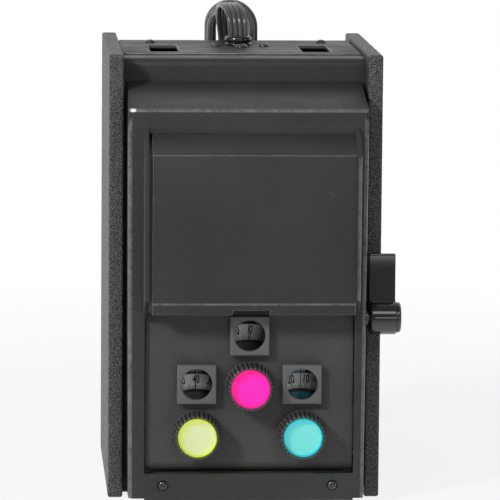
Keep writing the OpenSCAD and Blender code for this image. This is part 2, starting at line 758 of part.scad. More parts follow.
// Strip of terminals on the left wall, where the lead's cores end
module terminal_block() {
    wall = -inner_half + sheet_t;
    color([0.85, 0.82, 0.7]) difference() {
        union() {
            block([wall, 84, 226], [wall + 6, 128, 246]);
            for (k = [0:3]) block([wall + 6 - eps, 85 + 11 * k, 227], [wall + 14, 94 + 11 * k, 245]);
        }
        for (k = [0:3], z = [231, 241]) translate([wall + 9, yf(89.5 + 11 * k), z])
            rotate([0, 90, 0]) cylinder(r = 2, h = 8, $fn = 24);
    }
}

// ---------- fasteners ----------

module case_screws() {
    color(steel) {
        for (p = top_screw_places) translate([p[0], yf(p[1]), plate_z]) screw(3.2, 2, 1.5, 6);
        translate([earth_screw_place[0], yf(earth_screw_place[1]), plate_z]) screw(4, 2.4, 1.5, 6);
        for (s = [-1, 1], p = panel_screw_places) translate([s * (inner_half - sheet_t), yf(p[0]), p[1]])
            rotate([0, -s * 90, 0]) screw(3, 2, 1.5, 6);
        for (x = [-66, 66], z = [12, 250])
            translate([x, yf(170), z]) rotate([-90, 0, 0]) screw(3.2, 2, 1.5, 6);
    }
}

module cover_screws() {
    color([0.08, 0.08, 0.08]) for (x = cover_screw_xs)
        translate([x, yf(-cover_out + 0.8), cover_screw_z]) rotate([90, 0, 0]) screw(3.2, 1.7, 1.45, 4.6);
}

// ---------- lead ----------

relief_top = plate_z + 6.2;
hank_r = 17.2;                            // half width of the hank's outer turn
hank_step = lead_t + 0.95;                // from one turn to the next
hank_top = 281;                           // height of the top fold's middle
hank_low = 81;                            // height of the bottom fold's middle
hank_join = 215;                          // height where the loose lead meets the hank
hank_x = 0.5;
layer_depths = [184.2, 197.8];            // middle of the two layers
hank_turns = 3;
rings_per_turn = 24;
hank_reverse = 37.5;                      // step at which the spiral turns outward again
hank_end = 13;                            // straight length at each end of the hank
waist = 2.6;                              // how far the tie draws the runs in
tie_z = 150;
clip_screw_zs = [tie_z - 14, tie_z + 14];

// Bushing in the top plate with a sleeve that tapers up the lead
module strain_relief() {
    color([0.07, 0.07, 0.07]) translate([gland[0], yf(gland[1]), 0]) difference() {
        union() {
            translate([0, 0, chassis_top - 4]) cylinder(r = 6.9, h = 6, $fn = 48);
            translate([0, 0, plate_z]) cylinder(r1 = 8.7, r2 = 8.7, h = 2.2, $fn = 64);
            translate([0, 0, plate_z + 2.2]) cylinder(r1 = 8.7, r2 = 8, h = 4, $fn = 64);
            translate([0, 0, chassis_top - 20]) cylinder(r1 = 4, r2 = 6.9, h = 16, $fn = 48);
        }
        translate([-lead_w / 2 - 0.1, -lead_t / 2 - 0.1, relief_top - 3])
            cube([lead_w + 0.2, lead_t + 0.2, 4]);
    }
}

function squared(v) = sign(v) * pow(abs(v), 0.3);

// Flat section of n sides with rounded edges, w wide and t thick, its first corner at angle a0
function section(n, w, t, a0) = [for (k = [0:n - 1]) let (a = a0 + 360 * k / n)
    [w / 2 * squared(cos(a)), t / 2 * squared(sin(a))]];

function unit(v) = v / norm(v);

// Ring of a flat tube: at p, heading along h, the width turned by tw from +X towards +Y
function ring(p, h, tw, shape) =
    let (w0 = [cos(tw), sin(tw), 0], w = unit(w0 - (w0 * h) * h), u = cross(h, w))
    [for (s = shape) p + s[0] * w + s[1] * u];

function headings(ps) = let (n = len(ps)) [for (i = [0:n - 1])
    unit(ps[min(i + 1, n - 1)] - ps[max(i - 1, 0)])];

// One closed tube through the points, twisted as given
module flat_tube(ps, tws, shape) {
    n = len(ps);
    m = len(shape);
    hs = headings(ps);
    points = [for (i = [0:n - 1]) each ring(ps[i], hs[i], tws[i], shape)];
    sides = [for (i = [0:n - 2], k = [0:m - 1]) let (a = i * m + k, b = i * m + (k + 1) % m)
        each [[a, a + m, b], [b, a + m, b + m]]];
    ends = [for (k = [1:m - 2]) each [[0, k, k + 1], [(n - 1) * m, (n - 1) * m + k + 1, (n - 1) * m + k]]];
    polyhedron(points = points, faces = concat(sides, ends));
}

// Route of the loose lead: across, depth, height, twist. Out of the relief, over the rear edge,
// down behind, then across and turned edge-on to where the hank begins.
lead_route = [[1, 112.5, 279.6, 0], [1, 112.5, 284, 0], [0.7, 112.7, 288, 0], [0.1, 114.2, 292.4, 2],
    [-0.9, 117.6, 296, 4], [-2.2, 122.6, 298.4, 6], [-3.6, 129, 299.6, 8], [-4.8, 136.4, 299.4, 9],
    [-5.4, 144.4, 297.4, 9], [-5.2, 152.4, 293.4, 8], [-4.4, 159.8, 287.6, 6], [-3.2, 166, 280, 4],
    [-2, 170.4, 271, 2], [-0.8, 172.8, 261.4, 0], [2.2, 173.6, 252, 2],
    [7.4, 173.8, 244.6, 10], [13, 174.6, 239, 28], [17.4, 176.8, 234, 52], [19, 180.4, 229, 74],
    [18.2, 183.4, 224.4, 88], [17.7, 184.2, 220, 90], [17.7, 184.2, 215, 90]];
// Route from the hank's end to the connector
tail_route = [[17.2, 197.8, 215, 90], [17.2, 197.8, 210, 90], [18, 200, 204, 100], [16.9, 204.6, 198.4, 122],
    [13.2, 208.6, 193, 146], [8.2, 210.6, 187.4, 164], [3.4, 210.8, 182, 176], [1, 210.8, 178, 180],
    [0.5, 210.8, 174, 180], [0.5, 210.8, 169, 180]];

function route_points(route) = [for (p = route) [p[0], yf(p[1]), p[2]]];
function route_twists(route) = [for (p = route) p[3]];

// Place on one turn of the hank, at step u of rings_per_turn, for half width r
function turn_place(u, r) =
    u < 5 ? [r, mix(hank_join, hank_low, u / 5)] :
    u < 11 ? [r * cos((u - 5) * 30), hank_low - r * sin((u - 5) * 30)] :
    u < 16 ? [-r, mix(hank_low, hank_top, (u - 11) / 5)] :
    u < 22 ? [-r * cos((u - 16) * 30), hank_top + r * sin((u - 16) * 30)] :
    [r, mix(hank_top, hank_join, (u - 22) / 2)];

hank_steps = hank_turns * rings_per_turn;
function hank_half(i) = hank_r - hank_step * min(i, 2 * hank_reverse - i) / rings_per_turn;
// The climb to the second layer takes the left run of the middle turn
function hank_depth(i) = let (c = min(1, max(0, (i - 35) / 5)))
    mix(layer_depths[0], layer_depths[1], c * c * (3 - 2 * c));
function drawn_in(z) = let (q = (z - tie_z) / 52) abs(q) < 1 ? waist * pow(cos(90 * q), 2) : 0;
function hank_place(i) = let (u = i % rings_per_turn, p = turn_place(u, hank_half(i)),
    s = p[0] > 0 ? 1 : -1, pull = p[1] > hank_low && p[1] < hank_top ? drawn_in(p[1]) : 0)
    [hank_x + p[0] - s * pull, yf(hank_depth(i)), p[1]];
function hank_points() = concat([hank_place(0), hank_place(0) - [0, 0, hank_end]],
    [for (i = [1:hank_steps - 1]) hank_place(i)],
    [hank_place(hank_steps) + [0, 0, hank_end], hank_place(hank_steps)]);

lead_shape = section(8, lead_w, lead_t, 22.5);
hank_shape = section(6, lead_w, lead_t, 0);

// Least gap between turns on the points, taken as thickness where the turns share a layer
hank_gap = min([for (i = [0:hank_steps - 18], j = [i + 18:hank_steps])
    let (d = hank_place(i) - hank_place(j)) max(norm([d[0], d[2]]) - lead_t, abs(d[1]) - lead_w)]);
echo(hank_gap = hank_gap);

module power_lead() {
    color([0.3, 0.3, 0.3]) flat_tube(route_points(lead_route), route_twists(lead_route), lead_shape);
}

module lead_tail() {
    color([0.3, 0.3, 0.3]) flat_tube(route_points(tail_route), route_twists(tail_route), lead_shape);
}

module lead_hank() {
    points = hank_points();
    color([0.3, 0.3, 0.3]) flat_tube(points, [for (p = points) 90], hank_shape);
}

// Four-pole connector on the end of the lead
module lead_connector() {
    color([0.1, 0.1, 0.1]) difference() {
        union() {
            block([-8, 206.4, 131], [9, 215.2, 163]);
            block([-6.6, 207.6, 163 - eps], [7.6, 214, 169]);
        }
        for (x = [-4.8, -1.2, 2.2, 5.8]) translate([x, yf(210.8), 130]) cylinder(r = 1.3, h = 9, $fn = 24);
    }
}

// Strap round the hank and the connector, through the clip
module hank_tie() {
    color([0.12, 0.12, 0.12]) translate([hank_x, yf(0), tie_z - 6]) linear_extrude(12) difference() {
        tie_outline(1.4);
        tie_outline(0);
    }
}

module tie_outline(t) {
    half = 16.4 + t;
    r = 2 + t;
    translate([-half + r, 174.6 - t]) square([2 * half - 2 * r, 41.4 + 2 * t]);
    translate([-half, 174.6 - t + r]) square([2 * half, 41.4 + 2 * t - 2 * r]);
    for (x = [-half + r, half - r], d = [174.6 - t + r, 216 + t - r]) translate([x, d]) circle(r, $fn = 32);
}

// Bridge on the rear cover that the strap passes under, with its two screws
module cord_clip() {
    wide = 10;
    color(steel) {
        difference() {
            union() {
                for (s = [-1, 1]) translate([0, 0, tie_z]) mirror([0, 0, s < 0 ? 1 : 0]) {
                    block([hank_x - wide, 170, 6.8], [hank_x + wide, 171.2, 18.5]);
                    block([hank_x - wide, 170, 6.8], [hank_x + wide, 176.4, 8]);
                }
                block([hank_x - wide, 175.2, tie_z - 8], [hank_x + wide, 176.4, tie_z + 8]);
            }
            for (z = clip_screw_zs) rod(hank_x, z, 1.6, 168, 173);
        }
        for (z = clip_screw_zs) translate([hank_x, yf(171.2), z]) rotate([-90, 0, 0]) screw(2.8, 1.6, 1.5, 4);
    }
}

// ---------- nodes ----------

side_panel(-half_w);  // side_panel_left
side_panel(inner_half);  // side_panel_right
chassis();
top_plate();
rear_cover();
base_plate();
front_bracket();
front_cover();
name_panel();
control_plate();
plate_standoffs();
dial_bezels();
window_lenses();
window_cursors();
shaft_bushes();
lever_bushes();
knob(0);  // yellow_knob
cap(0, [0.85, 0.9, 0.4]);  // yellow_cap
control_shaft(0);  // yellow_shaft
dial(0, [0.6, 0.6, 0.6]);  // yellow_dial
slide(0);  // yellow_slide
filter_glass(0, [0.95, 0.9, 0.2, 0.5]);  // yellow_filter
knob(1);  // magenta_knob
cap(1, [0.97, 0.2, 0.75]);  // magenta_cap
control_shaft(1);  // magenta_shaft
dial(1, [0.6, 0.6, 0.6]);  // magenta_dial
slide(1);  // magenta_slide
filter_glass(1, [0.9, 0.2, 0.7, 0.5]);  // magenta_filter
knob(2);  // cyan_knob
cap(2, [0.3, 0.85, 0.88]);  // cyan_cap
control_shaft(2);  // cyan_shaft
dial(2, [0.2, 0.45, 0.6]);  // cyan_dial
slide(2);  // cyan_slide
filter_glass(2, [0.2, 0.75, 0.85, 0.5]);  // cyan_filter
light_lever();
lever_sector();
attenuator_slide();
filter_guides();
attenuator_guides();
lamp();
lamp_socket();
lamp_bracket();
heat_glass();
heat_glass_ring();
light_tunnel();
mixing_chamber();
chamber_lining();
diffuser();
fan_frame();
fan_rotor();
terminal_block();
case_screws();
cover_screws();
strain_relief();
cord_clip();
power_lead();
lead_hank();
lead_tail();
lead_connector();
hank_tie();
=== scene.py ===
import json
from math import atan2, copysign, cos, degrees, exp, pi, radians, sin, sqrt, tau

import bmesh
import bpy
from mathutils import Matrix, Vector, noise


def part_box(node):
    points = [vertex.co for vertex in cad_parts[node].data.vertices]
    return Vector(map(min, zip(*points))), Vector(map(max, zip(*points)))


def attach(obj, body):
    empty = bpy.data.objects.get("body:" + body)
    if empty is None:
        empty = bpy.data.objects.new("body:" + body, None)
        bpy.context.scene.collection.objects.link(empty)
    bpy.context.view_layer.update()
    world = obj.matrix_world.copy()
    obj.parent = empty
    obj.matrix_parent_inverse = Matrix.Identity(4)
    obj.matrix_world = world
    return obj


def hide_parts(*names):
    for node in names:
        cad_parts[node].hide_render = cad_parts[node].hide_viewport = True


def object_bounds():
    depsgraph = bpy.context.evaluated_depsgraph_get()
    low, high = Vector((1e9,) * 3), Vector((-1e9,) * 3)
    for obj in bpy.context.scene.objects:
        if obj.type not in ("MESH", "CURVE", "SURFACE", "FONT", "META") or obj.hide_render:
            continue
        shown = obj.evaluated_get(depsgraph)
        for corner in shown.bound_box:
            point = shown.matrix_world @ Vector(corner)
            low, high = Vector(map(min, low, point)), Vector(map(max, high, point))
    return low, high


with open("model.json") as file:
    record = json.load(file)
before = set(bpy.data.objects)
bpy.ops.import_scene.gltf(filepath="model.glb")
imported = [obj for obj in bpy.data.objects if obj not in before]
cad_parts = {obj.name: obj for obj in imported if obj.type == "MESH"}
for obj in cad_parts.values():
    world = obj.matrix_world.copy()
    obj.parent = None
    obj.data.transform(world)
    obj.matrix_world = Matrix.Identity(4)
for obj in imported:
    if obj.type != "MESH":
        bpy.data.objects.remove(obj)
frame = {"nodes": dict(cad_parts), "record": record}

cad_low, cad_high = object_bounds()

# ---------- measures, in millimetres as on the object ----------

MM = 0.001
AXIS_BACK = 110.0  # side panels' front edges to the optical axis
PLATE_FRONT = -24.5  # depth of the control plate's face
TOP_Z = 275.2  # height of the top plate's upper face
CONTROL_X = 1.5  # sideways place of the middle knob
KNOB_GAP = 32.6  # from there to each outer knob
LOW_Z, HIGH_Z = 45.3, 75.6  # heights of the outer knobs and the middle one
WINDOW_RISE = 31.0  # from a knob up to its window
DIALS = {  # zero: degrees clockwise from the top; face: depth of the disc's front
    "yellow": {"x": CONTROL_X - KNOB_GAP, "z": LOW_Z, "zero": 60, "face": -19.9},
    "magenta": {"x": CONTROL_X, "z": HIGH_Z, "zero": 2.2, "face": -16.3},
    "cyan": {"x": CONTROL_X + KNOB_GAP, "z": LOW_Z, "zero": 20, "face": -18.1},
}
RECORD = frame["record"]
BODY_OF = {node: body for body, nodes in RECORD["behaviour"]["bodies"].items() for node in nodes}
SLOT_OF = {part["node"]: part["material_slot"] for part in RECORD["subparts"]}
PRINTED = ("scale_white", "scale_ink", "yellow_disc", "magenta_disc", "cyan_disc")
FINISH_OF = {  # the record's slot for a material that has none of its own
    "control_paint": "chassis_paint",
    "lens_glass": "clear_glass",
    **dict.fromkeys(PRINTED, "dial_aluminium"),
}


def at(x, depth, z):
    """A place given across, behind the side panels' front edges and up, as a point in metres."""
    return Vector((x, depth - AXIS_BACK, z)) * MM


def shown(name, data):
    """A new object in the scene."""
    made = bpy.data.objects.new(name, data)
    bpy.context.scene.collection.objects.link(made)
    return made


# ---------- camera, at the photograph's angle ----------

CAMERA_AT = (-157.1, -2646.5, 497.0)  # across, depth and height
CAMERA_YAW = radians(3.461)
CAMERA_PITCH = radians(7.321)
CAMERA_ROLL = radians(0.454)
SENSOR = 36.0
FOCAL_PX = 4295.6  # focal length in pixels of a 500-pixel frame
FRAME_PX = 500


def make_camera():
    ahead = Vector((sin(CAMERA_YAW) * cos(CAMERA_PITCH),
                    cos(CAMERA_YAW) * cos(CAMERA_PITCH), -sin(CAMERA_PITCH)))
    right = Vector((cos(CAMERA_YAW), -sin(CAMERA_YAW), 0))
    up = right.cross(ahead)
    side = right * cos(CAMERA_ROLL) + up * sin(CAMERA_ROLL)
    top = up * cos(CAMERA_ROLL) - right * sin(CAMERA_ROLL)
    data = bpy.data.cameras.new("camera")
    data.sensor_width = SENSOR
    data.lens = FOCAL_PX * SENSOR / FRAME_PX
    data.clip_start = 0.05
    data.clip_end = 60
    camera = shown("camera", data)
    turn = Matrix((side, top, -ahead)).transposed()
    camera.matrix_world = Matrix.Translation(at(*CAMERA_AT)) @ turn.to_4x4()
    bpy.context.scene.camera = camera


# ---------- materials ----------

FIRST_COLOUR, SECOND_COLOUR, COLOUR_OUT = 6, 7, 2  # sockets of a Mix node that mixes colours
FOOT_SHADE_HEIGHTS = (20.8, 27.5)  # heights over which the control plate is painted darker: painted shade in the bend of its foot
HIGHLIGHT_SPOT_CORNER = (-71.0, -27.6, 246.4)  # where a near-white spot is painted on the cover's edge: a painted highlight


class Nodes:
    """A node tree, with short calls for its nodes. Any value may also be another node's socket."""

    def __init__(self, tree):
        self.tree = tree

    def put(self, value, socket):
        if isinstance(value, bpy.types.NodeSocket):
            self.tree.links.new(value, socket)
        else:
            socket.default_value = value

    def node(self, kind, inputs=(), **fields):
        """A new node with its settings, and its inputs given in order or by name."""
        made = self.tree.nodes.new("ShaderNode" + kind)
        for name, value in fields.items():
            setattr(made, name, value)
        for key, value in inputs.items() if isinstance(inputs, dict) else enumerate(inputs):
            self.put(value, made.inputs[key])
        return made

    def compute(self, operation, *values):
        return self.node("Math", values, operation=operation).outputs[0]

    def sum(self, a, b, share):
        """a with a share of b added."""
        return self.compute("MULTIPLY_ADD", b, share, a)

    def spread(self, source, low, high, out_low, out_high, **fields):
        """source from low to high, spread over out_low to out_high."""
        values = (source, low, high, out_low, out_high)
        return self.node("MapRange", values, **fields).outputs["Result"]

    def parts(self, place):
        """A place or direction as three sockets, X, Y and Z."""
        return self.node("SeparateXYZ", (place,)).outputs

    def mix_out(self, output, share, first, second):
        """Two shader nodes, mixed, become what the tree puts out."""
        mixed = self.node("MixShader", (share, first.outputs[0], second.outputs[0]))
        self.put(mixed.outputs[0], self.tree.nodes[output].inputs["Surface"])


class Shader(Nodes):
    """A material whose principled shader is fed by its nodes."""

    def __init__(self, name, colour, rough, metallic=0.0, specular=0.5):
        self.name = name
        self.material = bpy.data.materials.new(name)
        self.material.use_nodes = True
        super().__init__(self.material.node_tree)
        self.bsdf = self.tree.nodes["Principled BSDF"]
        self.set("Base Color", (*colour, 1))
        self.set("Roughness", rough)
        self.set("Metallic", metallic)
        self.set("Specular IOR Level", specular)
        self.place = self.node("TexCoord").outputs["Object"]
        self.height = None

    def set(self, socket, value):
        self.put(value, self.bsdf.inputs[socket])

    def noise(self, scale, detail=2.0, stretch=None, distortion=0.0):
        """Noise, finer along an axis where stretch holds a larger factor."""
        place = self.place
        if stretch:
            place = self.node("Mapping", {"Vector": place, "Scale": stretch}).outputs["Vector"]
        values = {"Vector": place, "Scale": scale, "Detail": detail, "Distortion": distortion}
        return self.node("TexNoise", values).outputs["Fac"]

    def wander(self, scale, low, high, detail=2.0):
        """A value that wanders between low and high over the surface."""
        return self.spread(self.noise(scale, detail), 0.3, 0.7, low, high)

    def cells(self, scale, smooth):
        values = {"Vector": self.place, "Scale": scale, "Smoothness": smooth}
        return self.node("TexVoronoi", values, feature="SMOOTH_F1").outputs["Distance"]

    def tint(self, factor, first, second):
        """One colour turning into another. The first may be None, for the colour that is there."""
        first = (*first, 1) if first else self.bsdf.inputs["Base Color"].links[0].from_socket
        values = {"Factor": factor, FIRST_COLOUR: first, SECOND_COLOUR: (*second, 1)}
        self.set("Base Color", self.node("Mix", values, data_type="RGBA").outputs[COLOUR_OUT])

    def relief(self, source, distance, strength=1.0):
        """Bump on top of the bump that is already there."""
        values = {"Height": source, "Distance": distance, "Strength": strength}
        if self.height:
            values["Normal"] = self.height
        self.height = self.node("Bump", values).outputs["Normal"]
        self.set("Normal", self.height)


def grey(tone):
    return (tone, tone, tone)


def scaled(colour, factor):
    return tuple(min(1.0, c * factor) for c in colour)


def satin(name, colour, rough, vary=0.15, grain=900, bump=0.00004, **more):
    """An even finish: broad changes of tone, a fine grain, and roughness that wanders a little."""
    made = Shader(name, colour, rough, **more)
    fine = made.noise(grain)
    tone = made.sum(made.wander(18, 0.0, 0.4, 3), made.spread(fine, 0.32, 0.68, 0.0, 1.0), 0.6)
    made.tint(tone, scaled(colour, 1 - vary), scaled(colour, 1 + vary))
    made.set("Roughness", made.wander(60, rough * 0.88, min(1, rough * 1.12), 3))
    made.relief(fine, bump, 0.6)
    return made


def textured_paint():
    """Thick black paint with a pebbled skin."""
    made = Shader("panel_paint", grey(0.03), 0.5, specular=0.45)
    skin = made.sum(made.cells(1150, 0.35), made.noise(2400), 0.4)
    made.tint(made.spread(skin, 0.3, 0.8, 1, 0), grey(0.02), grey(0.16))
    made.set("Roughness", made.wander(700, 0.36, 0.62))
    made.relief(made.spread(skin, 0.0, 0.9, 1, 0), 0.0004)
    return made


def cover_paint():
    """Satin black with faint scuffs and a trace of orange peel."""
    made = satin("cover_paint", grey(0.034), 0.42, 0.3, 1300, bump=0.00003, specular=0.27)
    scuff = made.noise(46, 6, (1, 1, 3.4), 1.4)
    made.tint(made.spread(scuff, 0.69, 0.8, 0, 0.4), None, grey(0.1))
    made.relief(made.noise(260), 0.00006, 0.5)
    return made


def control_paint():
    """Satin black of the control plate, with painted shade in the bend of its foot: darker there, and with
    less specular.
    """
    made = satin("control_paint", grey(0.047), 0.5, vary=0.25, grain=1200, specular=0.4)
    low, high = FOOT_SHADE_HEIGHTS
    # painted shade: the plate's paint darkens and loses its specular towards the foot
    painted_foot_shade = made.spread(made.parts(made.place)["Z"], low * MM, high * MM, 1, 0)
    made.tint(painted_foot_shade, None, grey(0.004))
    made.set("Specular IOR Level", made.spread(painted_foot_shade, 0, 1, 0.4, 0.05))
    return made


def worn_edge(name, colour):
    """Thin paint over a bend or along a cut edge, paler and glossier than the flat paint: partly rubbed wear,
    partly painted highlight.
    """
    made = Shader(name, colour, 0.3, specular=0.7)
    worn_and_highlit = made.spread(made.noise(150, 5, distortion=0.6), 0.35, 0.75, 0, 1)
    made.tint(worn_and_highlit, scaled(colour, 0.75), scaled(colour, 1.7))
    made.set("Roughness", made.wander(400, 0.24, 0.4))
    return made


def cover_edge():
    """Paler edge of the cover, partly wear and partly painted highlight; at its upper left corner a
    near-white spot is painted as a highlight.
    """
    made = worn_edge("cover_edge", grey(0.08))
    # painted highlight: a near-white spot round the cover's upper left corner
    away = made.node("VectorMath", (made.place, at(*HIGHLIGHT_SPOT_CORNER)), operation="DISTANCE")
    ragged = made.sum(away.outputs["Value"], made.noise(900), 1.6 * MM)
    made.tint(made.spread(ragged, 2.0 * MM, 2.9 * MM, 1, 0), None, grey(0.8))
    return made


def brushed(name, colour, rough, stretch=(1, 1, 30)):
    """Bare metal with fine lines."""
    made = Shader(name, colour, rough, metallic=1.0)
    lines = made.noise(500, 3, stretch)
    made.tint(lines, scaled(colour, 0.82), scaled(colour, 1.1))
    made.set("Roughness", made.spread(lines, 0.2, 0.8, rough * 0.8, rough * 1.25))
    made.relief(lines, 0.00002, 0.5)
    return made


def clear(name, tint):
    """Polished glass, a little less smooth in places."""
    made = Shader(name, tint, 0.01)
    made.set("Transmission Weight", 1.0)
    made.set("IOR", 1.46)
    made.set("Roughness", made.spread(made.noise(40, 3), 0.3, 0.75, 0.005, 0.03))
    return made


def magnifier():
    """Thick window glass, tinted from clear at its upper left to dark at its lower right: painted shade
    across the window.
    """
    made = Shader("lens_glass", grey(1), 0.02)
    made.set("Transmission Weight", 1.0)
    made.set("IOR", 1.1)
    place = made.parts(made.node("TexCoord").outputs["Generated"])
    # painted shade: the tint darkens the glass towards its right side and its foot
    across = made.sum(place["X"], made.spread(place["Z"], 0, 1, 0.35, 0), 1.0)
    made.tint(made.spread(across, 0.25, 1.05, 0, 1), grey(0.99), grey(0.1))
    return made


def woven(name, colour):
    """Diagonal weave of a narrow strap."""
    made = Shader(name, colour, 0.85, specular=0.2)
    values = {"Vector": made.place, "Scale": 420, "Distortion": 1.2}
    wave = made.node("TexWave", values, wave_type="BANDS", bands_direction="DIAGONAL")
    weave = wave.outputs["Fac"]
    made.tint(weave, scaled(colour, 0.6), scaled(colour, 1.6))
    made.relief(weave, 0.0002, 0.8)
    return made


def cap_plastic(name, colour):
    """Bright plastic of a knob's cap, in the paler colour of its lit face: painted sheen."""
    made = satin(name, colour, 0.4, vary=0.03, grain=700, bump=0.00002, specular=0.3)
    made.set("Subsurface Weight", 0.08)
    made.set("Subsurface Radius", grey(0.003))
    made.set("Subsurface Scale", 0.5)
    return made


def cap_rim(name, colour, filtered):
    """The cap's thin rim, of the same plastic in the deeper colour of its shaded side: painted shade. The
    lamps' light comes through it coloured.
    """
    made = satin(name, colour, 0.5, vary=0.03, grain=700, bump=0.00002, specular=0.2)
    through = made.node("BsdfTransparent", {"Color": (*filtered, 1)})
    shadow = made.node("LightPath").outputs["Is Shadow Ray"]
    made.mix_out("Material Output", shadow, made.bsdf, through)
    return made


def make_materials():
    """Every material by its name."""
    shaders = (
        textured_paint(),
        cover_paint(),
        cover_edge(),
        satin("chassis_paint", grey(0.031), 0.45, vary=0.25, grain=1100, specular=0.28),
        satin("plate_paint", grey(0.035), 0.48, vary=0.2, grain=1000, specular=0.2),
        # paler cut edges of the top plate: partly wear, partly painted highlight
        worn_edge("plate_edge", grey(0.24)),
        control_paint(),
        brushed("steel", (0.55, 0.55, 0.56), 0.32),
        satin("black_steel", grey(0.01), 0.2, bump=0.00001, specular=1.0),
        brushed("brass", (0.62, 0.5, 0.26), 0.3),
        satin("bezel_plastic", grey(0.1), 0.5, vary=0.25, grain=1500),
        clear("clear_glass", (0.97, 0.98, 0.98)),
        satin("black_plastic", grey(0.02), 0.42),
        satin("grey_plastic", grey(0.25), 0.5),
        satin("gloss_black", grey(0.02), 0.1, bump=0.00001, specular=1.0),
        satin("knob_plastic", grey(0.062), 0.25, grain=1600, bump=0.00002),
        # near-black faces down in the knob's flutes: painted shade
        satin("knob_groove_shade", grey(0.006), 0.5, specular=0.2),
        # cap faces in the paler lit colour (painted sheen), rims in the deeper shaded colour (painted shade)
        cap_plastic("yellow_cap", (0.68, 0.74, 0.44)),
        cap_plastic("magenta_cap", (0.87, 0.022, 0.55)),
        cap_plastic("cyan_cap", (0.2, 0.73, 0.68)),
        cap_rim("yellow_rim", (0.6, 0.72, 0.02), (0.95, 0.97, 0.0)),
        cap_rim("magenta_rim", (0.95, 0.02, 0.3), (1.0, 0.3, 0.3)),
        cap_rim("cyan_rim", (0.0, 0.55, 0.62), (0.0, 0.75, 0.9)),
        satin("dial_aluminium", grey(0.06), 0.5),
        satin("yellow_disc", grey(0.09), 0.5),
        satin("magenta_disc", grey(0.07), 0.5),
        satin("cyan_disc", (0.02, 0.24, 0.42), 0.5, vary=0.08),
        satin("scale_white", grey(0.7), 0.5, vary=0.05),
        satin("scale_ink", grey(0.012), 0.5),
        magnifier(),
        brushed("aluminium", (0.66, 0.66, 0.67), 0.36),
        clear("yellow_glass", (0.95, 0.88, 0.15)),
        clear("magenta_glass", (0.9, 0.2, 0.62)),
        clear("cyan_glass", (0.15, 0.72, 0.8)),
        brushed("lamp_mirror", (0.8, 0.8, 0.82), 0.12, stretch=None),
        satin("ceramic", (0.72, 0.7, 0.63), 0.4),
        satin("white_foam", (0.85, 0.85, 0.83), 0.9, grain=500, bump=0.0002),
        satin("opal", (0.88, 0.88, 0.85), 0.35, vary=0.04),
        satin("black_rubber", grey(0.008), 0.17, bump=0.00001, specular=0.7),
        satin("lead_rubber", grey(0.075), 0.22, vary=0.2),
        woven("strap", grey(0.03)),
    )
    return {shader.name: shader.material for shader in shaders}


# ---------- pieces and shapes ----------

SHARP = 38.0  # an edge that turns by more degrees than this is rounded
PICKED = 12.0  # the same for an edge that a test has picked
TIP = 0.02  # radius at the closed middle of a turned shape
X, Y, Z = (Vector(axis) for axis in ((1, 0, 0), (0, 1, 0), (0, 0, 1)))
# across, up and out for a shape about an axis
AXES = {"x": (Y, Z, X), "-x": (-Y, Z, -X), "y": (X, Z, Y), "-y": (X, Z, -Y), "z": (X, Y, Z)}


def add_piece(name, mesh, slot, body, replaced=(), smooth=35.0, second=None):
    """A bmesh becomes a piece that rides on a body. second is the material of the faces with index 1."""
    data = bpy.data.meshes.new(name)
    bmesh.ops.recalc_face_normals(mesh, faces=mesh.faces)
    mesh.to_mesh(data)
    mesh.free()
    data.materials.append(MATERIALS[slot])
    if second:
        data.materials.append(MATERIALS[second])
    data.shade_smooth()
    data.set_sharp_from_angle(angle=radians(smooth))
    made = shown(name, data)
    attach(made, body)
    if replaced:
        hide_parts(*replaced)
    return made


def dress(node, mesh, slot=None, **more):
    """A piece in the place of one node, on its body and with its finish."""
    return add_piece(node + "_dressed", mesh, slot or SLOT_OF[node], BODY_OF[node], (node,), **more)


def dress_nodes():
    """The nodes that keep their CAD shape take their material from the record's slot."""
    for name, made in frame["nodes"].items():
        for slot in made.material_slots:
            slot.material = MATERIALS[SLOT_OF[name]]


def rounded(node, radius, special=(), slot=None, edge_slot=None, wear_and_highlight=True, move=None):
    """The node's own shape, its sharp edges rounded. special holds, for edges that come first, a test, the
    radius and whether they take the paler edge finish, partly wear and partly painted highlight;
    wear_and_highlight says whether the others do. edge_slot is that finish's material, and move shifts places
    beforehand."""
    mesh = bmesh.new()
    mesh.from_mesh(frame["nodes"][node].data)
    bmesh.ops.remove_doubles(mesh, verts=mesh.verts, dist=1e-6)
    if move:
        for vert in mesh.verts:
            x, y, z = vert.co / MM
            vert.co = at(*move(x, y + AXIS_BACK, z))
    bmesh.ops.dissolve_limit(mesh, angle_limit=radians(0.4), verts=mesh.verts, edges=mesh.edges)
    for test, size, worn_and_highlit in (*special, (None, radius, wear_and_highlight)):
        least = radians(PICKED if test else SHARP)
        edges = [edge for edge in mesh.edges if len(edge.link_faces) == 2
                 and edge.calc_face_angle() > least and (test is None or test(edge))]
        bmesh.ops.bevel(mesh, geom=edges, offset=size * MM, offset_type="OFFSET", segments=3, profile=0.5,
                        affect="EDGES", clamp_overlap=False, material=1 if edge_slot and worn_and_highlit else -1)
    dress(node, mesh, slot, second=edge_slot)


def loft(rings, mesh=None, capped=True):
    """Skin over closed rings that hold the same number of points, in a new bmesh or the one given."""
    if mesh is None:
        mesh = bmesh.new()
    made = [[mesh.verts.new(point) for point in ring] for ring in rings]
    count = len(made[0])
    for low, high in zip(made, made[1:]):
        for k in range(count):
            mesh.faces.new((low[k], low[(k + 1) % count], high[(k + 1) % count], high[k]))
    if capped:
        mesh.faces.new(made[0])
        mesh.faces.new(made[-1])
    return mesh


def loop(rings, mesh=None):
    """Skin over rings, the last of them joined to the first."""
    mesh = loft(rings + rings[:1], mesh, capped=False)
    bmesh.ops.remove_doubles(mesh, verts=mesh.verts, dist=1e-7)
    return mesh


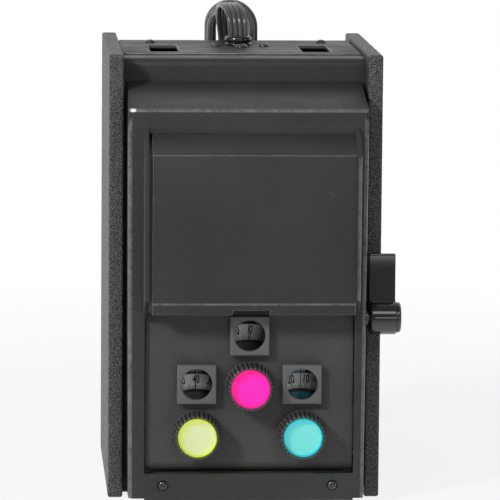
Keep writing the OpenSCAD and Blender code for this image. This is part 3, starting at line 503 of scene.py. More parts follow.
def turned(centre, axis, profile, steps=64, mesh=None, skin=loft):
    """A turned shape about one of the AXES. profile holds radius, height and, if any, the flutes' depth."""
    across, up, out = AXES[axis]
    rings = []
    for radius, height, *depth in profile:
        ring = []
        for k in range(steps):
            angle = tau * k / steps
            r = radius
            if depth:
                r -= depth[0] * exp(-(sin(FLUTES * angle / 2) / FLUTE_SPREAD) ** 2)
            outward = across * cos(angle) + up * sin(angle)
            ring.append(centre + outward * r * MM + out * height * MM)
        rings.append(ring)
    return skin(rings, mesh)


def corners_of(x0, x1, y0, y1, r):
    """Centres of a rectangle's four rounded corners, each with the angle at which its arc begins."""
    return (x1 - r, y1 - r, 0), (x0 + r, y1 - r, 90), (x0 + r, y0 + r, 180), (x1 - r, y0 + r, 270)


def corner_ring(sides, inset, radius, z, steps=4):
    """Points round a rectangle at height z. sides holds its left, right, front and back."""
    left, right, front, back = sides
    points = []
    for cx, cd, start in corners_of(left + inset, right - inset, front + inset, back - inset, radius):
        for k in range(steps + 1):
            angle = radians(start + 90 * k / steps)
            points.append(at(cx + radius * cos(angle), cd + radius * sin(angle), z))
    return points


def mix(a, b, share):
    return a + (b - a) * share


def eased(v, power):
    """Changes a sine or cosine so that a circle turns into a rounded rectangle."""
    return copysign(abs(v) ** power, v)


# ---------- lead ----------

CORES = 4
CORE_R = 1.6
LEAD_W = 2 * CORES * CORE_R
VALLEY = 0.36  # half thickness between two cores
VALLEY_ANGLE = 13  # degrees of a core's half circle that the valley beside it takes
CORE_STEPS = 8
GLAND = (1.0, 112.5)  # the bushing's place, across and deep

# across, depth, height and twist, as the solid lead runs
LEAD_ROUTE = (
    (1, 112.5, 279.6, 0), (1, 112.5, 284, 0), (0.7, 112.7, 288, 0), (0.1, 114.2, 292.4, 2),
    (-0.9, 117.6, 296, 4), (-2.2, 122.6, 298.4, 6), (-3.6, 129, 299.6, 8), (-4.8, 136.4, 299.4, 9),
    (-5.4, 144.4, 297.4, 9), (-5.2, 152.4, 293.4, 8), (-4.4, 159.8, 287.6, 6), (-3.2, 166, 280, 4),
    (-2, 170.4, 271, 2), (-0.8, 172.8, 261.4, 0), (2.2, 173.6, 252, 2),
    (7.4, 173.8, 244.6, 10), (13, 174.6, 239, 28), (17.4, 176.8, 234, 52), (19, 180.4, 229, 74),
    (18.2, 183.4, 224.4, 88), (17.7, 184.2, 220, 90))
TAIL_ROUTE = (
    (17.2, 197.8, 210, 90), (18, 200, 204, 100), (16.9, 204.6, 198.4, 122),
    (13.2, 208.6, 193, 146), (8.2, 210.6, 187.4, 164), (3.4, 210.8, 182, 176), (1, 210.8, 178, 180),
    (0.5, 210.8, 174, 180), (0.5, 210.8, 169, 180))

HANK_R = 17.2  # half width of the outermost turn
HANK_STEP = 2 * CORE_R + 0.95  # how much narrower each following turn is, on either side
HANK_TOP, HANK_LOW = 281.0, 81.0  # heights of the upper and the lower bends' centres
HANK_JOIN = 215.0  # height at which a turn begins
HANK_X = 0.5
LAYERS = (184.2, 197.8)  # depths of the inner and the outer layer
TURNS = 3
PER_TURN = 24  # steps in a turn
DOWN, FOOT, UP, HEAD = 5, 11, 16, 22  # the steps at which its parts end: down, lower bend, up, upper bend
BEND_STEP = 30  # degrees that a step turns in a bend
FINE = 3  # points of the path in a step
REVERSE = 37.5  # step at which the turns stop growing narrower and grow wider
CLIMB, CLIMB_STEPS = 35, 5  # where the lead crosses to the outer layer, and over how many steps
WAIST = 2.6  # how far the tie draws the hank in
WAIST_REACH = 52  # how far above and below the tie this shows
TIE_Z = 150.0


def turn_place(step, radius):
    """Across and height on one turn of the hank, at a step of PER_TURN."""
    if step < DOWN:
        return radius, mix(HANK_JOIN, HANK_LOW, step / DOWN)
    if step < FOOT:
        angle = radians((step - DOWN) * BEND_STEP)
        return radius * cos(angle), HANK_LOW - radius * sin(angle)
    if step < UP:
        return -radius, mix(HANK_LOW, HANK_TOP, (step - FOOT) / (UP - FOOT))
    if step < HEAD:
        angle = radians((step - UP) * BEND_STEP)
        return -radius * cos(angle), HANK_TOP + radius * sin(angle)
    return radius, mix(HANK_TOP, HANK_JOIN, (step - HEAD) / (PER_TURN - HEAD))


def hank_place(i):
    """Place and twist at step i of the hank, which is drawn in at its tie."""
    half = HANK_R - HANK_STEP * min(i, 2 * REVERSE - i) / PER_TURN
    x, z = turn_place(i % PER_TURN, half)
    climb = min(1.0, max(0.0, (i - CLIMB) / CLIMB_STEPS))
    depth = mix(LAYERS[0], LAYERS[1], climb * climb * (3 - 2 * climb))
    near = (z - TIE_Z) / WAIST_REACH
    pull = WAIST * cos(pi / 2 * near) ** 2 if abs(near) < 1 and HANK_LOW < z < HANK_TOP else 0.0
    return HANK_X + x - copysign(pull, x), depth, z, 90


def curve_through(points):
    """Smooth curve through places with twists, in FINE steps between two of them."""
    made = []
    last = len(points) - 1
    for i in range(last):
        before, here, there, after = (points[min(max(k, 0), last)] for k in (i - 1, i, i + 1, i + 2))
        for k in range(FINE):
            t = k / FINE
            made.append(tuple(
                0.5 * (2 * b + (c - a) * t + (2 * a - 5 * b + 4 * c - d) * t ** 2
                       + (3 * b - a - 3 * c + d) * t ** 3)
                for a, b, c, d in zip(before, here, there, after)))
    return made + [points[last]]


def lead_path():
    """Every place of the lead, from the bushing to the connector, with its twist."""
    x, depth, z, twist = hank_place(0)
    entry = (x, depth, z - 0.2, twist)
    hank = [hank_place(k / FINE) for k in range(2, TURNS * PER_TURN * FINE)]
    leaving = hank_place(TURNS * PER_TURN)
    return curve_through([*LEAD_ROUTE, entry]) + hank + curve_through([leaving, *TAIL_ROUTE])


def lead_outline():
    """Section of the cores side by side, with a valley between each two."""
    top = []
    for core in range(CORES):
        middle_x = (core - (CORES - 1) / 2) * 2 * CORE_R
        first = 180 if core == 0 else 180 - VALLEY_ANGLE
        final = 0 if core == CORES - 1 else VALLEY_ANGLE
        for k in range(CORE_STEPS + 1):
            angle = radians(mix(first, final, k / CORE_STEPS))
            top.append((middle_x + CORE_R * cos(angle), max(CORE_R * sin(angle), 0.0)))
    top = [(x, max(z, VALLEY) if 0 < i < len(top) - 1 else 0.0) for i, (x, z) in enumerate(top)]
    return top + [(x, -z) for x, z in reversed(top[1:-1])]


def sweep(places, outline):
    """The outline carried along places, its width twisted from +X towards +Y, and the path in its middle."""
    points = [at(*place[:3]) for place in places]
    rings = []
    for i, place in enumerate(places):
        ahead = (points[min(i + 1, len(points) - 1)] - points[max(i - 1, 0)]).normalized()
        twist = radians(place[3])
        wide = Vector((cos(twist), sin(twist), 0))
        wide = (wide - ahead * wide.dot(ahead)).normalized()
        thick = ahead.cross(wide)
        rings.append([points[i] + (wide * x + thick * z) * MM for x, z in outline])
    return loft(rings), points


BODY_SIDES = (-8, 9, 206.4, 215.2)  # left, right, front and back of the connector
SLEEVE_SIDES = (-6.6, 7.6, 207.6, 214)  # the same for its sleeve round the lead
PINS = (-4.8, -1.2, 2.2, 5.8)
PIN_FOOT = 131.05
GRIPS = 6  # grooves for the fingers
PIN_PROFILE = ((1.6, 0), (1.6, -0.05), (1.3, -0.05), (1.2, 0.1))


def make_connector():
    """Moulded connector with grooves for the fingers and a sleeve that the lead comes out of."""
    levels = [(131, 1.1), (131.4, 0.4), (132.2, 0)]
    for k in range(GRIPS):
        levels += [(140 + 3.2 * k + up, inset) for up, inset in ((0, 0), (0.4, 0.55), (1.2, 0.55), (1.6, 0))]
    levels += [(161.6, 0), (162.6, 0.4), (163, 1.2)]
    rings = [corner_ring(BODY_SIDES, inset, 1.5, z) for z, inset in levels]
    rings += [corner_ring(SLEEVE_SIDES, inset, 1.3, z) for z, inset in (
        (163.2, 0), (165, 0.1), (165.4, -0.3), (166.4, -0.3), (166.8, 0.1), (168.6, 0.2), (169, 0.6))]
    mesh = loft(rings)
    for x in PINS:
        turned(at(x, 210.8, PIN_FOOT), "z", PIN_PROFILE, 24, mesh)
    return dress("lead_connector", mesh)


def make_tie():
    """Woven strap once round the hank, its loose end lapped over it at the back."""
    half, near, far, bend = 16.4, 174.6, 216.0, 2.7
    thick, tall = 1.3, 6.0
    section = []
    for k in range(16):
        angle = tau * k / 16
        section.append(((eased(sin(angle), 0.5) + 1) * thick / 2, eased(cos(angle), 0.25) * tall))
    rings = []
    for cx, cd, start in corners_of(HANK_X - half, HANK_X + half, near, far, bend):
        for k in range(7):
            angle = radians(start + 15 * k)
            x, y = cos(angle), sin(angle)
            rings.append([at(cx + bend * x + x * out, cd + bend * y + y * out, TIE_Z + up)
                          for out, up in section])
    mesh = loop(rings)
    rings = []
    for x, full in ((-9, 0.35), (-8.4, 1.0), (0, 1.0), (9.4, 1.0), (10, 0.35)):
        rings.append([at(HANK_X + x, far + 1.1 + out * 0.25 * full, TIE_Z + up * 0.93 * (0.8 + 0.2 * full))
                      for out, up in section])
    loft(rings, mesh)
    return dress("hank_tie", mesh, smooth=50)


def make_lead():
    mesh, points = sweep(lead_path(), lead_outline())
    nodes = ("power_lead", "lead_hank", "lead_tail")
    lead = add_piece("lead", mesh, "lead_rubber", "case", nodes, smooth=60)
    connector = make_connector()
    tie = make_tie()


RELIEF_PROFILE = (  # radius and height above the top plate
    (4, -21), (6.9, -5), (6.9, -0.1), (8.1, 0), (8.3, 0.3), (8.3, 0.9), (8.1, 1.25), (7.5, 1.5), (7.45, 1.8),
    (8, 2), (8.5, 2.4), (8.68, 3), (8.7, 3.8), (8.55, 4.7), (8.1, 5.5), (7.5, 5.95), (7, 6.15), (6.9, 6.2))
RELIEF_SLOT = ((0.45, 6.2), (0.15, 6.0), (0.1, 3.2))  # room round the lead, and height


def make_strain_relief():
    """Glossy bushing in two tiers, with the flat slot that the lead comes out of."""
    turns = [tau * k / 64 for k in range(64)]
    across, back = GLAND
    rings = [[at(across + radius * cos(angle), back + radius * sin(angle), TOP_Z + height)
              for angle in turns] for radius, height in RELIEF_PROFILE]
    for grow, height in RELIEF_SLOT:
        ring = []
        for angle in turns:
            x, y = eased(cos(angle), 0.3), eased(sin(angle), 0.3)
            ring.append(at(across + (LEAD_W / 2 + grow) * x * 0.99, back + (CORE_R + grow) * y,
                           TOP_Z + height))
        rings.append(ring)
    dress("strain_relief", loft(rings), smooth=40)


# ---------- case ----------

PANEL_EDGE = 1.3  # radius of a side panel's edges
PANEL_CORNER = 2.4  # radius of its corners, seen from the side
PANEL_LIP = 2.6  # width of the strip inside each edge
EDGE_DENTS, FACE_DENTS = 0.16, 0.08


def panel_ring(low, high, inset, x):
    """Points a millimetre or two apart round the panel's outline, drawn in by inset, at a place across."""
    corner = max(PANEL_CORNER - inset, 0.3)
    corners = corners_of(low.y + inset, high.y - inset, low.z + inset, high.z - inset, corner)
    points = []
    for index, (cd, cz, start) in enumerate(corners):
        for k in range(5):
            angle = radians(start + 22.5 * k)
            points.append((cd + corner * cos(angle), cz + corner * sin(angle)))
        next_d, next_z, next_start = corners[(index + 1) % 4]
        angle = radians(next_start)
        goal = (next_d + corner * cos(angle), next_z + corner * sin(angle))
        here = points[-1]
        steps = 150 if index % 2 else 100
        for k in range(1, steps):
            points.append((mix(here[0], goal[0], k / steps), mix(here[1], goal[1], k / steps)))
    return [at(x, d, z) for d, z in points]


def make_side_panel(side):
    """Thick cheek whose edges are rounded and slightly uneven under the textured coat."""
    node = "side_panel_" + side
    low, high = (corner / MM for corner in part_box(node))
    low.y += AXIS_BACK
    high.y += AXIS_BACK
    wide = high.x - low.x
    arc = []
    for k in range(7):
        angle = radians(15 * k)
        arc.append((PANEL_EDGE * (1 - sin(angle)), PANEL_EDGE * (1 - cos(angle))))
    levels = [(PANEL_LIP, 0.0), *arc, (0.0, wide / 2)]
    levels += [(inset, wide - over) for inset, over in reversed(arc)] + [(PANEL_LIP, wide)]
    mesh = loft([panel_ring(low, high, inset, low.x + over) for inset, over in levels])
    middle_at = Vector(((low.x + high.x) / 2, (low.y + high.y) / 2 - AXIS_BACK, (low.z + high.z) / 2))
    for vert in mesh.verts:
        place = vert.co / MM
        by_edge = min(place.x - low.x, high.x - place.x) < PANEL_EDGE + 0.1
        dent = (EDGE_DENTS if by_edge else FACE_DENTS) * abs(
            noise.noise(place * 0.55) + 0.6 * noise.noise(place * 1.3))
        across = Vector((middle_at.x - place.x, 0, 0)).normalized()
        inward = Vector((0, middle_at.y - place.y, middle_at.z - place.z)).normalized()
        vert.co += (inward + across * 0.6) * dent * MM
    dress(node, mesh, smooth=50)


def middle(edge):
    """Across, depth and height of an edge's middle."""
    return (edge.verts[0].co + edge.verts[1].co) / 2 / MM + Vector((0, AXIS_BACK, 0))


def run(edge):
    return (edge.verts[1].co - edge.verts[0].co) / MM


def level(edge, least):
    """Does the edge run across, for at least so many millimetres?"""
    along = run(edge)
    return abs(along.x) > least and abs(along.x) > 0.98 * along.length


def rear_bend(edge):
    """Long edges at the back of the rear cover."""
    return level(edge, 60) and middle(edge).y > 168


def cover_side(edge):
    """Upright edges at the sides of the front cover."""
    along = run(edge)
    upright = abs(along.z) > 60 and abs(along.z) > 0.9 * along.length
    return upright and middle(edge).y < -24 and abs(middle(edge).x) > 68


def cover_top(edge):
    """Bends along the top of the front cover."""
    return level(edge, 120) and middle(edge).z > 233 and middle(edge).y < -20


def name_panel_foot(edge):
    """Bends above the foot of the name panel."""
    return level(edge, 100) and middle(edge).y < -36 and 121 < middle(edge).z < 140


def close_gaps(x, depth, z):
    """The name panel's right and top edges meet the cover without a gap."""
    if x > 64:
        x += 0.72
    if z > 229:
        depth, z = depth + 1.0, z + 0.6
    return x, depth, z


def make_panel_return():
    """Narrow fold of the name panel's left edge, seen in the gap beside the cheek."""
    strip = ((-61.6, 0), (-59.3, 0), (-59.3, 0.25), (-61.6, 0.25))  # across, and back
    fold = ((-26.6, 229.6), (-45.8, 219.9), (-45.8, 129.1), (-43.2, 123.2))  # depth and height
    rings = [[at(x, depth + back, z) for x, back in strip] for depth, z in fold]
    add_piece("name_panel_return", loft(rings), "cover_paint", "case")


def make_case():
    make_side_panel("left")
    make_side_panel("right")
    rounded("chassis", 0.3)
    rounded("top_plate", 0.3, edge_slot="plate_edge")
    rounded("rear_cover", 0.4, ((rear_bend, 1.4, False),))
    rounded("base_plate", 0.5)
    rounded("front_bracket", 0.3)
    # the cover's side and top bends take the paler edge finish: partly wear, partly painted highlight
    rounded("front_cover", 0.35, ((cover_side, 2.2, True), (cover_top, 1.6, True)), edge_slot="cover_edge",
            wear_and_highlight=False)
    rounded("name_panel", 0.35, ((name_panel_foot, 0.7, True),), edge_slot="cover_edge", move=close_gaps)
    make_panel_return()
    rounded("control_plate", 0.3, slot="control_paint")
    rounded("cord_clip", 0.25)
    rounded("dial_bezels", 0.3)


# ---------- screws ----------

TOP_SCREWS = ((-55, 130), (56, 132), (-14, 101), (17, 101.5))  # across and depth
EARTH_SCREW = (1.9, 92)
REAR_SCREWS = ((-66, 12), (66, 12), (-66, 250), (66, 250))  # across and height
REAR_DEPTH = 170
SIDE_SCREWS = ((38, 20), (138, 20), (38, 200), (138, 256))  # depth and height
SIDE_SCREW_X = 74.6
COVER_SCREWS = ((-51.6, 8), (53.6, 40))  # across, and turn of the recess
COVER_SCREW_AT = (-27.2, 12.6)  # depth and height


def bare_mesh(mesh):
    """A bmesh as a plain object, for the Boolean."""
    data = bpy.data.meshes.new("screw")
    bmesh.ops.recalc_face_normals(mesh, faces=mesh.faces)
    mesh.to_mesh(data)
    mesh.free()
    return shown("screw", data)


def screw(radius, height, shank):
    """Shape of a pan-head screw along +Z, with its cross recess cut out."""
    profile = [(1.45, -shank), (1.45, 0), (radius * 0.96, 0), (radius, 0.1 * height)]
    for k in range(12):
        angle = radians(7.5 * k)
        profile.append((radius * cos(angle) ** 0.85, height * (0.14 + 0.86 * sin(angle))))
    head = turned(Vector(), "z", (*profile, (TIP, height)))
    arm, half = radius * 0.58, radius * 0.13
    corners = ((arm, half), (half, half), (half, arm), (-half, arm), (-half, half), (-arm, half),
               (-arm, -half), (-half, -half), (-half, -arm), (half, -arm), (half, -half), (arm, -half))
    cross = loft([[Vector((x * taper, y * taper, z)) * MM for x, y in corners]
                  for z, taper in ((height * 0.35, 0.75), (height * 1.3, 1.1))])
    pair = bare_mesh(head), bare_mesh(cross)
    recess = pair[0].modifiers.new("recess", "BOOLEAN")
    recess.operation = "DIFFERENCE"
    recess.solver = "EXACT"
    recess.object = pair[1]
    shape = bpy.data.meshes.new_from_object(pair[0].evaluated_get(bpy.context.evaluated_depsgraph_get()))
    for made in pair:
        data = made.data
        bpy.data.objects.remove(made)
        bpy.data.meshes.remove(data)
    return shape


def place_screw(mesh, shape, centre, axis, turn):
    """A copy of the screw at centre, its head towards axis and its recess turned by turn degrees."""
    across, up, out = AXES[axis]
    spin = Matrix.Rotation(radians(turn), 3, "Z")
    before = len(mesh.verts)
    mesh.from_mesh(shape)
    mesh.verts.ensure_lookup_table()
    for vert in mesh.verts[before:]:
        x, y, z = spin @ vert.co
        vert.co = centre + across * x + up * y + out * z


def make_screws():
    """The screws of the case and the cover, each with its recess turned in another direction."""
    mesh = bmesh.new()
    pan = screw(3.2, 2.0, 6)
    for index, (x, depth) in enumerate(TOP_SCREWS):
        place_screw(mesh, pan, at(x, depth, TOP_Z), "z", 31 * index + 12)
    for index, (x, z) in enumerate(REAR_SCREWS):
        place_screw(mesh, pan, at(x, REAR_DEPTH, z), "y", 47 * index + 20)
    for index, (depth, z) in enumerate(SIDE_SCREWS):
        place_screw(mesh, pan, at(-SIDE_SCREW_X, depth, z), "x", 25 * index)
        place_screw(mesh, pan, at(SIDE_SCREW_X, depth, z), "-x", 35 * index)
    place_screw(mesh, screw(4.0, 2.4, 6), at(*EARTH_SCREW, TOP_Z), "z", 20)
    dress("case_screws", mesh, smooth=30)
    mesh = bmesh.new()
    small = screw(2.95, 1.7, 4.6)
    for x, turn in COVER_SCREWS:
        place_screw(mesh, small, at(x, *COVER_SCREW_AT), "-y", turn)
    dress("cover_screws", mesh, smooth=30)


# ---------- dials and windows ----------

BAND = (27.3, 35.9)  # radii of the pale band
LINE = (25.3, 27.3)  # radii of the black line under it
BAND_PROUD, PRINT_PROUD = 0.05, 0.08  # how far the band and the print stand in front of the disc
TICK_FOOT = 27.3
TICKS = ((10, 3.1, 0.42), (5, 2.6, 0.34), (1, 1.7, 0.22))  # every so many units: a line's length and width
DEGREES_PER_UNIT = 1.5
UNITS = 180
NUMBER_R = 32.6
NUMBER_H = 4.9
NUMBER_NARROW = 0.6  # width of the figures, as a share of the font's own
NUMBER_BOLD = 0.2
FONT_SIZE = 1.38  # size of the font for a figure one high
DISC_PROFILE = ((3, -5), (6, -5), (6, -1), (36.3, -1), (36.5, -0.8), (36.5, -0.2), (36.3, 0), (3, 0))
LENS_R, LENS_RIM, LENS_CROWN = 9.7, 0.8, 2.6


def dial_point(dial, radius, clockwise, proud):
    angle = radians(clockwise)
    return at(dial["x"] + radius * sin(angle), dial["face"] - proud, dial["z"] + radius * cos(angle))


def ring_face(mesh, dial, radii, proud, steps=120):
    """Flat ring standing a little proud of the dial's face."""
    inner, outer = ([mesh.verts.new(dial_point(dial, radius, 360 * (k / steps), proud))
                     for k in range(steps + 1)] for radius in radii)
    for k in range(steps):
        mesh.faces.new((inner[k], inner[k + 1], outer[k + 1], outer[k]))


def stroke(mesh, dial, clockwise, length, width):
    """Radial line of a scale."""
    outer = TICK_FOOT + length
    side = degrees(width / 2 / outer)
    corners = ((TICK_FOOT, -side), (TICK_FOOT, side), (outer, side), (outer, -side))
    mesh.faces.new([mesh.verts.new(dial_point(dial, r, clockwise + a, PRINT_PROUD)) for r, a in corners])


def numeral(mesh, dial, value, clockwise):
    """A number of the scale, upright at its place on the dial."""
    curve = bpy.data.curves.new("numeral", "FONT")
    curve.body = str(value)
    curve.align_x = "CENTER"
    curve.align_y = "CENTER"
    curve.size = NUMBER_H * FONT_SIZE
    curve.offset = NUMBER_BOLD
    holder = bpy.data.objects.new("numeral", curve)
    shape = bpy.data.meshes.new_from_object(holder)
    angle = radians(clockwise)
    for vert in shape.vertices:
        x, z = vert.co.x * NUMBER_NARROW, vert.co.y + NUMBER_R
        vert.co = at(dial["x"] + x * cos(angle) + z * sin(angle), dial["face"] - PRINT_PROUD,
                     dial["z"] - x * sin(angle) + z * cos(angle))
    mesh.from_mesh(shape)
    bpy.data.objects.remove(holder)
    bpy.data.curves.remove(curve)
    bpy.data.meshes.remove(shape)


def make_dial(colour, dial):
    """Turned disc with a hub, its pale band and its printed scale; numbers rise to the left."""
    body = colour + "_control"
    mesh = turned(at(dial["x"], dial["face"], dial["z"]), "-y", DISC_PROFILE, 128)
    add_piece(colour + "_dial_disc", mesh, colour + "_disc", body, (colour + "_dial",))
    mesh = bmesh.new()
    ring_face(mesh, dial, BAND, BAND_PROUD)
    add_piece(colour + "_dial_band", mesh, "scale_white", body)
    mesh = bmesh.new()
    ring_face(mesh, dial, LINE, PRINT_PROUD)
    for value in range(UNITS + 1):
        length, width = next((length, width) for every, length, width in TICKS if value % every == 0)
        stroke(mesh, dial, dial["zero"] - DEGREES_PER_UNIT * value, length, width)
    for value in range(0, UNITS + 1, 10):
        numeral(mesh, dial, value, dial["zero"] - DEGREES_PER_UNIT * value)
    add_piece(colour + "_dial_print", mesh, "scale_ink", body)


def make_lens(colour, dial):
    """Domed magnifier, flat at the back. It casts no shadow: real glass would let the light through."""
    ball = (LENS_R ** 2 + LENS_CROWN ** 2) / (2 * LENS_CROWN)
    profile = [(TIP, 0), (LENS_R - 0.3, 0), (LENS_R, 0.2)]
    for k in range(13):
        r = min(LENS_R * (1 - k / 12) + TIP, LENS_R)
        profile.append((r, LENS_RIM + LENS_CROWN - ball + sqrt(ball ** 2 - r ** 2)))
    mesh = turned(at(dial["x"], PLATE_FRONT - 2, dial["z"] + WINDOW_RISE), "-y", profile, 96)
    nodes = ("window_lenses",) if colour == "yellow" else ()
    lens = add_piece(colour + "_lens", mesh, "lens_glass", "case", nodes, smooth=40)
    lens.visible_shadow = False
    lens.visible_diffuse = False


# ---------- knobs and lever ----------

FLUTES = 30
FLUTE_SPREAD = 0.36  # how wide a flute opens, as a sine across its pitch
SHADE_SPREAD = 0.3  # how wide the painted shade inside a flute is, measured the same way
GROOVED = (2.4, 17.6)  # heights between which the flutes run
GROOVE_SHADE_R = 12.65  # radius outside which the flutes are painted dark, as shade
KNOB_BACK = -27.0
CAP_SEAT = 13.2  # height of the cap's seat in the knob
CAP_R = 12.0
RIM_WIDTH, RIM_FOOT = 0.8, 0.7  # the cap's rim: its width, and the height at which it begins

# radius, height and depth of the flutes
KNOB_PROFILE = (
    (3, 0, 0), (14.6, 0, 0), (14.9, 0.15, 0), (15, 0.5, 0), (15, 1.7, 0), (14.85, 2.1, 0), (14.72, 2.3, 0.1),
    (14.68, 2.6, 0.6), (14.5, 5, 0.7), (14.2, 9, 0.7), (13.98, 12, 0.7), (13.9, CAP_SEAT, 0.7),
    (CAP_R, CAP_SEAT, 0), (3, CAP_SEAT, 0))
LIP_PROFILE = (
    (CAP_R, CAP_SEAT, 0), (13.9, CAP_SEAT, 0.7), (13.72, 16.7, 0.7), (13.6, 17.1, 0.6), (13.35, 17.4, 0.5),
    (13.1, 17.5, 0.35), (12.75, 17.5, 0.05), (12.4, 17.35, 0), (12.2, 16.9, 0), (CAP_R, 16.6, 0))
# radius and height
CAP_PROFILE = (
    (TIP, 0), (CAP_R - 0.2, 0), (CAP_R - 0.03, 0.2), (CAP_R - 0.03, 4.25), (CAP_R - 0.15, 4.45),
    (CAP_R - 0.3, 4.5), (CAP_R - 0.47, 4.4), (CAP_R - 0.52, 4.15), (CAP_R - 0.56, 1.0), (CAP_R - 0.7, 0.68),
    (CAP_R - 1, 0.6), (8, 0.64), (4, 0.67), (TIP, 0.68))


def mark_grooves(mesh, centre):
    """The faces down in a flute get material index 1, a near-black finish: painted shade in the flutes."""
    low, high = GROOVED
    for face in mesh.faces:
        reach = face.calc_center_median() - centre
        inside = abs(sin(FLUTES * atan2(reach.z, reach.x) / 2)) < SHADE_SPREAD
        if inside and low * MM < -reach.y < high * MM and reach.xz.length > GROOVE_SHADE_R * MM:
            face.material_index = 1


def mark_rim(mesh, centre):
    """The faces of the rim round a cap's dish get material index 1."""
    for face in mesh.faces:
        reach = [vert.co - centre for vert in face.verts]
        height = -sum(r.y for r in reach) / len(reach)
        if height > RIM_FOOT * MM and all(r.xz.length > (CAP_R - RIM_WIDTH) * MM for r in reach):
            face.material_index = 1


def make_knob(colour, dial):
    """Fluted knob, the lip round its cap, and the dished cap. The lip casts no shadow, so that light that
    comes through the cap's rim colours it."""
    base = at(dial["x"], KNOB_BACK, dial["z"])
    mesh = turned(base, "-y", KNOB_PROFILE, 480)
    mark_grooves(mesh, base)
    dress(colour + "_knob", mesh, smooth=48, second="knob_groove_shade")
    mesh = turned(base, "-y", LIP_PROFILE, 480, skin=loop)
    mark_grooves(mesh, base)
    lip = add_piece(colour + "_knob_lip", mesh, "knob_plastic", colour + "_control", smooth=40,
                    second="knob_groove_shade")
    lip.visible_shadow = False
    seat = at(dial["x"], KNOB_BACK - CAP_SEAT, dial["z"])
    mesh = turned(seat, "-y", CAP_PROFILE, 96)
    mark_rim(mesh, seat)
    dress(colour + "_cap", mesh, smooth=40, second=colour + "_rim")


LEVER_AT = (76.6, -14, 116)  # foot of the lever's hub on its axis
HUB_PROFILE = (  # radius, and distance out from there
    (2.2, -10), (2.2, 0), (9.4, 0), (9.8, 0.25), (10.4, 0.9), (10.6, 1.5), (10.6, 15.8), (10.5, 16.2),
    (10.1, 16.4), (9.45, 16.42), (9.35, 16.6), (9.5, 16.8), (9.5, 18.3), (9.2, 18.9), (8.6, 19.3),
    (8, 19.45), (TIP, 19.5))
ARM_LEVELS = (  # height, front and back of the arm from the axis, and inset at its sides
    (119, -1.05, 6.9, 0), (124, -1, 6, 0), (139, -0.8, 4.5, 0), (154.4, -0.6, 3.1, 0),
    (155.3, -0.5, 2.9, 0.1), (155.75, -0.2, 2.6, 0.4), (155.9, 0.3, 2.1, 0.9))


def make_lever():
    """Glossy paddle: a turned hub across the case's side and an arm, thinner at its tip."""
    x, depth, height = LEVER_AT
    mesh = turned(at(x, depth, height), "x", HUB_PROFILE, 128)
    add_piece("light_lever_hub", mesh, "gloss_black", "light_control", ("light_lever",), smooth=40)
    rings = []
    for z, near, far, inset in ARM_LEVELS:
        sides = (x - 0.4 + inset, x + 16.1 - inset, depth + near, depth + far)
        rings.append(corner_ring(sides, 0, 0.6, z, 5))
    add_piece("light_lever_arm", loft(rings), "gloss_black", "light_control", smooth=40)


# ---------- light and floor, in metres ----------

FRONT_ROOM = 0.16  # how bright a gloss finds the room on the side where one stands to look
EVEN_LIGHT = 0.25
FLOOR_HALF = 14.0
FLOOR_FADE = (0.3, 0.9)  # distances over which the floor turns into the background
FLOOR_SHARE = 0.84  # how much of it is background near by
LIT_PLACE = Vector((0, 0, 0.14))  # what the lamps point at
LAMPS = (  # place, diameter or (width, height), and watts
    ("key", (-1.75, -1.9, 1.6), 0.5, 52),
    ("front_bar", (0.0, -2.0, 1.7), (2.2, 0.7), 11),
    ("low_bar", (0.6, -2.4, 0.3), (2.0, 0.35), 3),
    ("left_bar", (-2.3, -0.9, 0.2), (0.3, 1.6), 9),
    ("right_bar", (2.3, -1.2, 0.35), (0.3, 1.6), 6),
)


def seen(nodes):
    """Two sockets: 1 for rays that see straight or through glass, and 1 for rays that are mirrored."""
    path = nodes.node("LightPath").outputs
    straight = nodes.compute("MAXIMUM", path["Is Camera Ray"], path["Is Transmission Ray"])
    return straight, path["Is Glossy Ray"]


def room(nodes, place, near, far, mirrored):
    """Strength of the white background: 1, but a mirrored ray finds it dimmer towards the front."""
    fade = nodes.spread(nodes.parts(place)["Y"], near, far, FRONT_ROOM - 1.0, 0.0,
                        interpolation_type="SMOOTHSTEP")
    return nodes.compute("ADD", nodes.compute("MULTIPLY", fade, mirrored), 1.0)


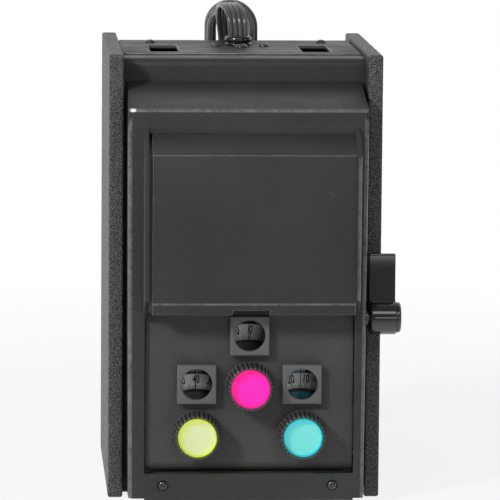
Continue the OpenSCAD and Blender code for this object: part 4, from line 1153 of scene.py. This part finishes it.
def make_world():
    """Even light on the object, and a white background behind it."""
    world = bpy.data.worlds.new("studio")
    bpy.context.scene.world = world
    world.use_nodes = True
    nodes = Nodes(world.node_tree)
    straight, mirrored = seen(nodes)
    direction = nodes.node("TexCoord").outputs["Generated"]
    light, white = world.node_tree.nodes["Background"], nodes.node("Background")
    for background, strength in ((light, EVEN_LIGHT), (white, room(nodes, direction, -0.2, 0.8, mirrored))):
        nodes.put((1, 1, 1, 1), background.inputs["Color"])
        nodes.put(strength, background.inputs["Strength"])
    nodes.mix_out("World Output", nodes.compute("MAXIMUM", straight, mirrored), light, white)


def make_floor():
    """Pale floor: it takes the object's shadow near by, and turns into the white background further off."""
    data = bpy.data.meshes.new("floor")
    corners = ((-1, -1), (1, -1), (1, 1), (-1, 1))
    below = cad_low.z - 0.0002
    data.from_pydata([(x * FLOOR_HALF, y * FLOOR_HALF, below) for x, y in corners], [], [(0, 1, 2, 3)])
    made = Shader("floor", grey(0.93), 0.9, specular=0.1)
    straight, mirrored = seen(made)
    away = made.node("VectorMath", (made.place,), operation="LENGTH").outputs["Value"]
    share = made.compute("MULTIPLY", straight, made.spread(away, *FLOOR_FADE, FLOOR_SHARE, 1.0))
    glow = made.node("Emission", {"Strength": room(made, made.place, -0.9, 0.1, mirrored)})
    made.mix_out("Material Output", made.compute("MAXIMUM", share, mirrored), made.bsdf, glow)
    data.materials.append(made.material)
    shown("floor", data)


def add_lamp(name, place, size, watts):
    """Soft lamp: a disc, or a rectangle where size holds its width and height."""
    data = bpy.data.lights.new(name, "AREA")
    if isinstance(size, tuple):
        data.shape = "RECTANGLE"
        data.size, data.size_y = size
    else:
        data.shape = "DISK"
        data.size = size
    data.energy = watts
    lamp = shown(name, data)
    lamp.location = place
    lamp.rotation_euler = (LIT_PLACE - Vector(place)).to_track_quat("-Z", "Y").to_euler()
    lamp.visible_camera = False


# ---------- the scene ----------

make_camera()
MATERIALS = make_materials()
dress_nodes()
make_lead()
make_strain_relief()
make_case()
make_screws()
for dial_colour, dial_place in DIALS.items():
    make_dial(dial_colour, dial_place)
    make_lens(dial_colour, dial_place)
    make_knob(dial_colour, dial_place)
make_lever()
make_world()
make_floor()
for lamp_fields in LAMPS:
    add_lamp(*lamp_fields)
bpy.context.scene.view_settings.view_transform = "Standard"
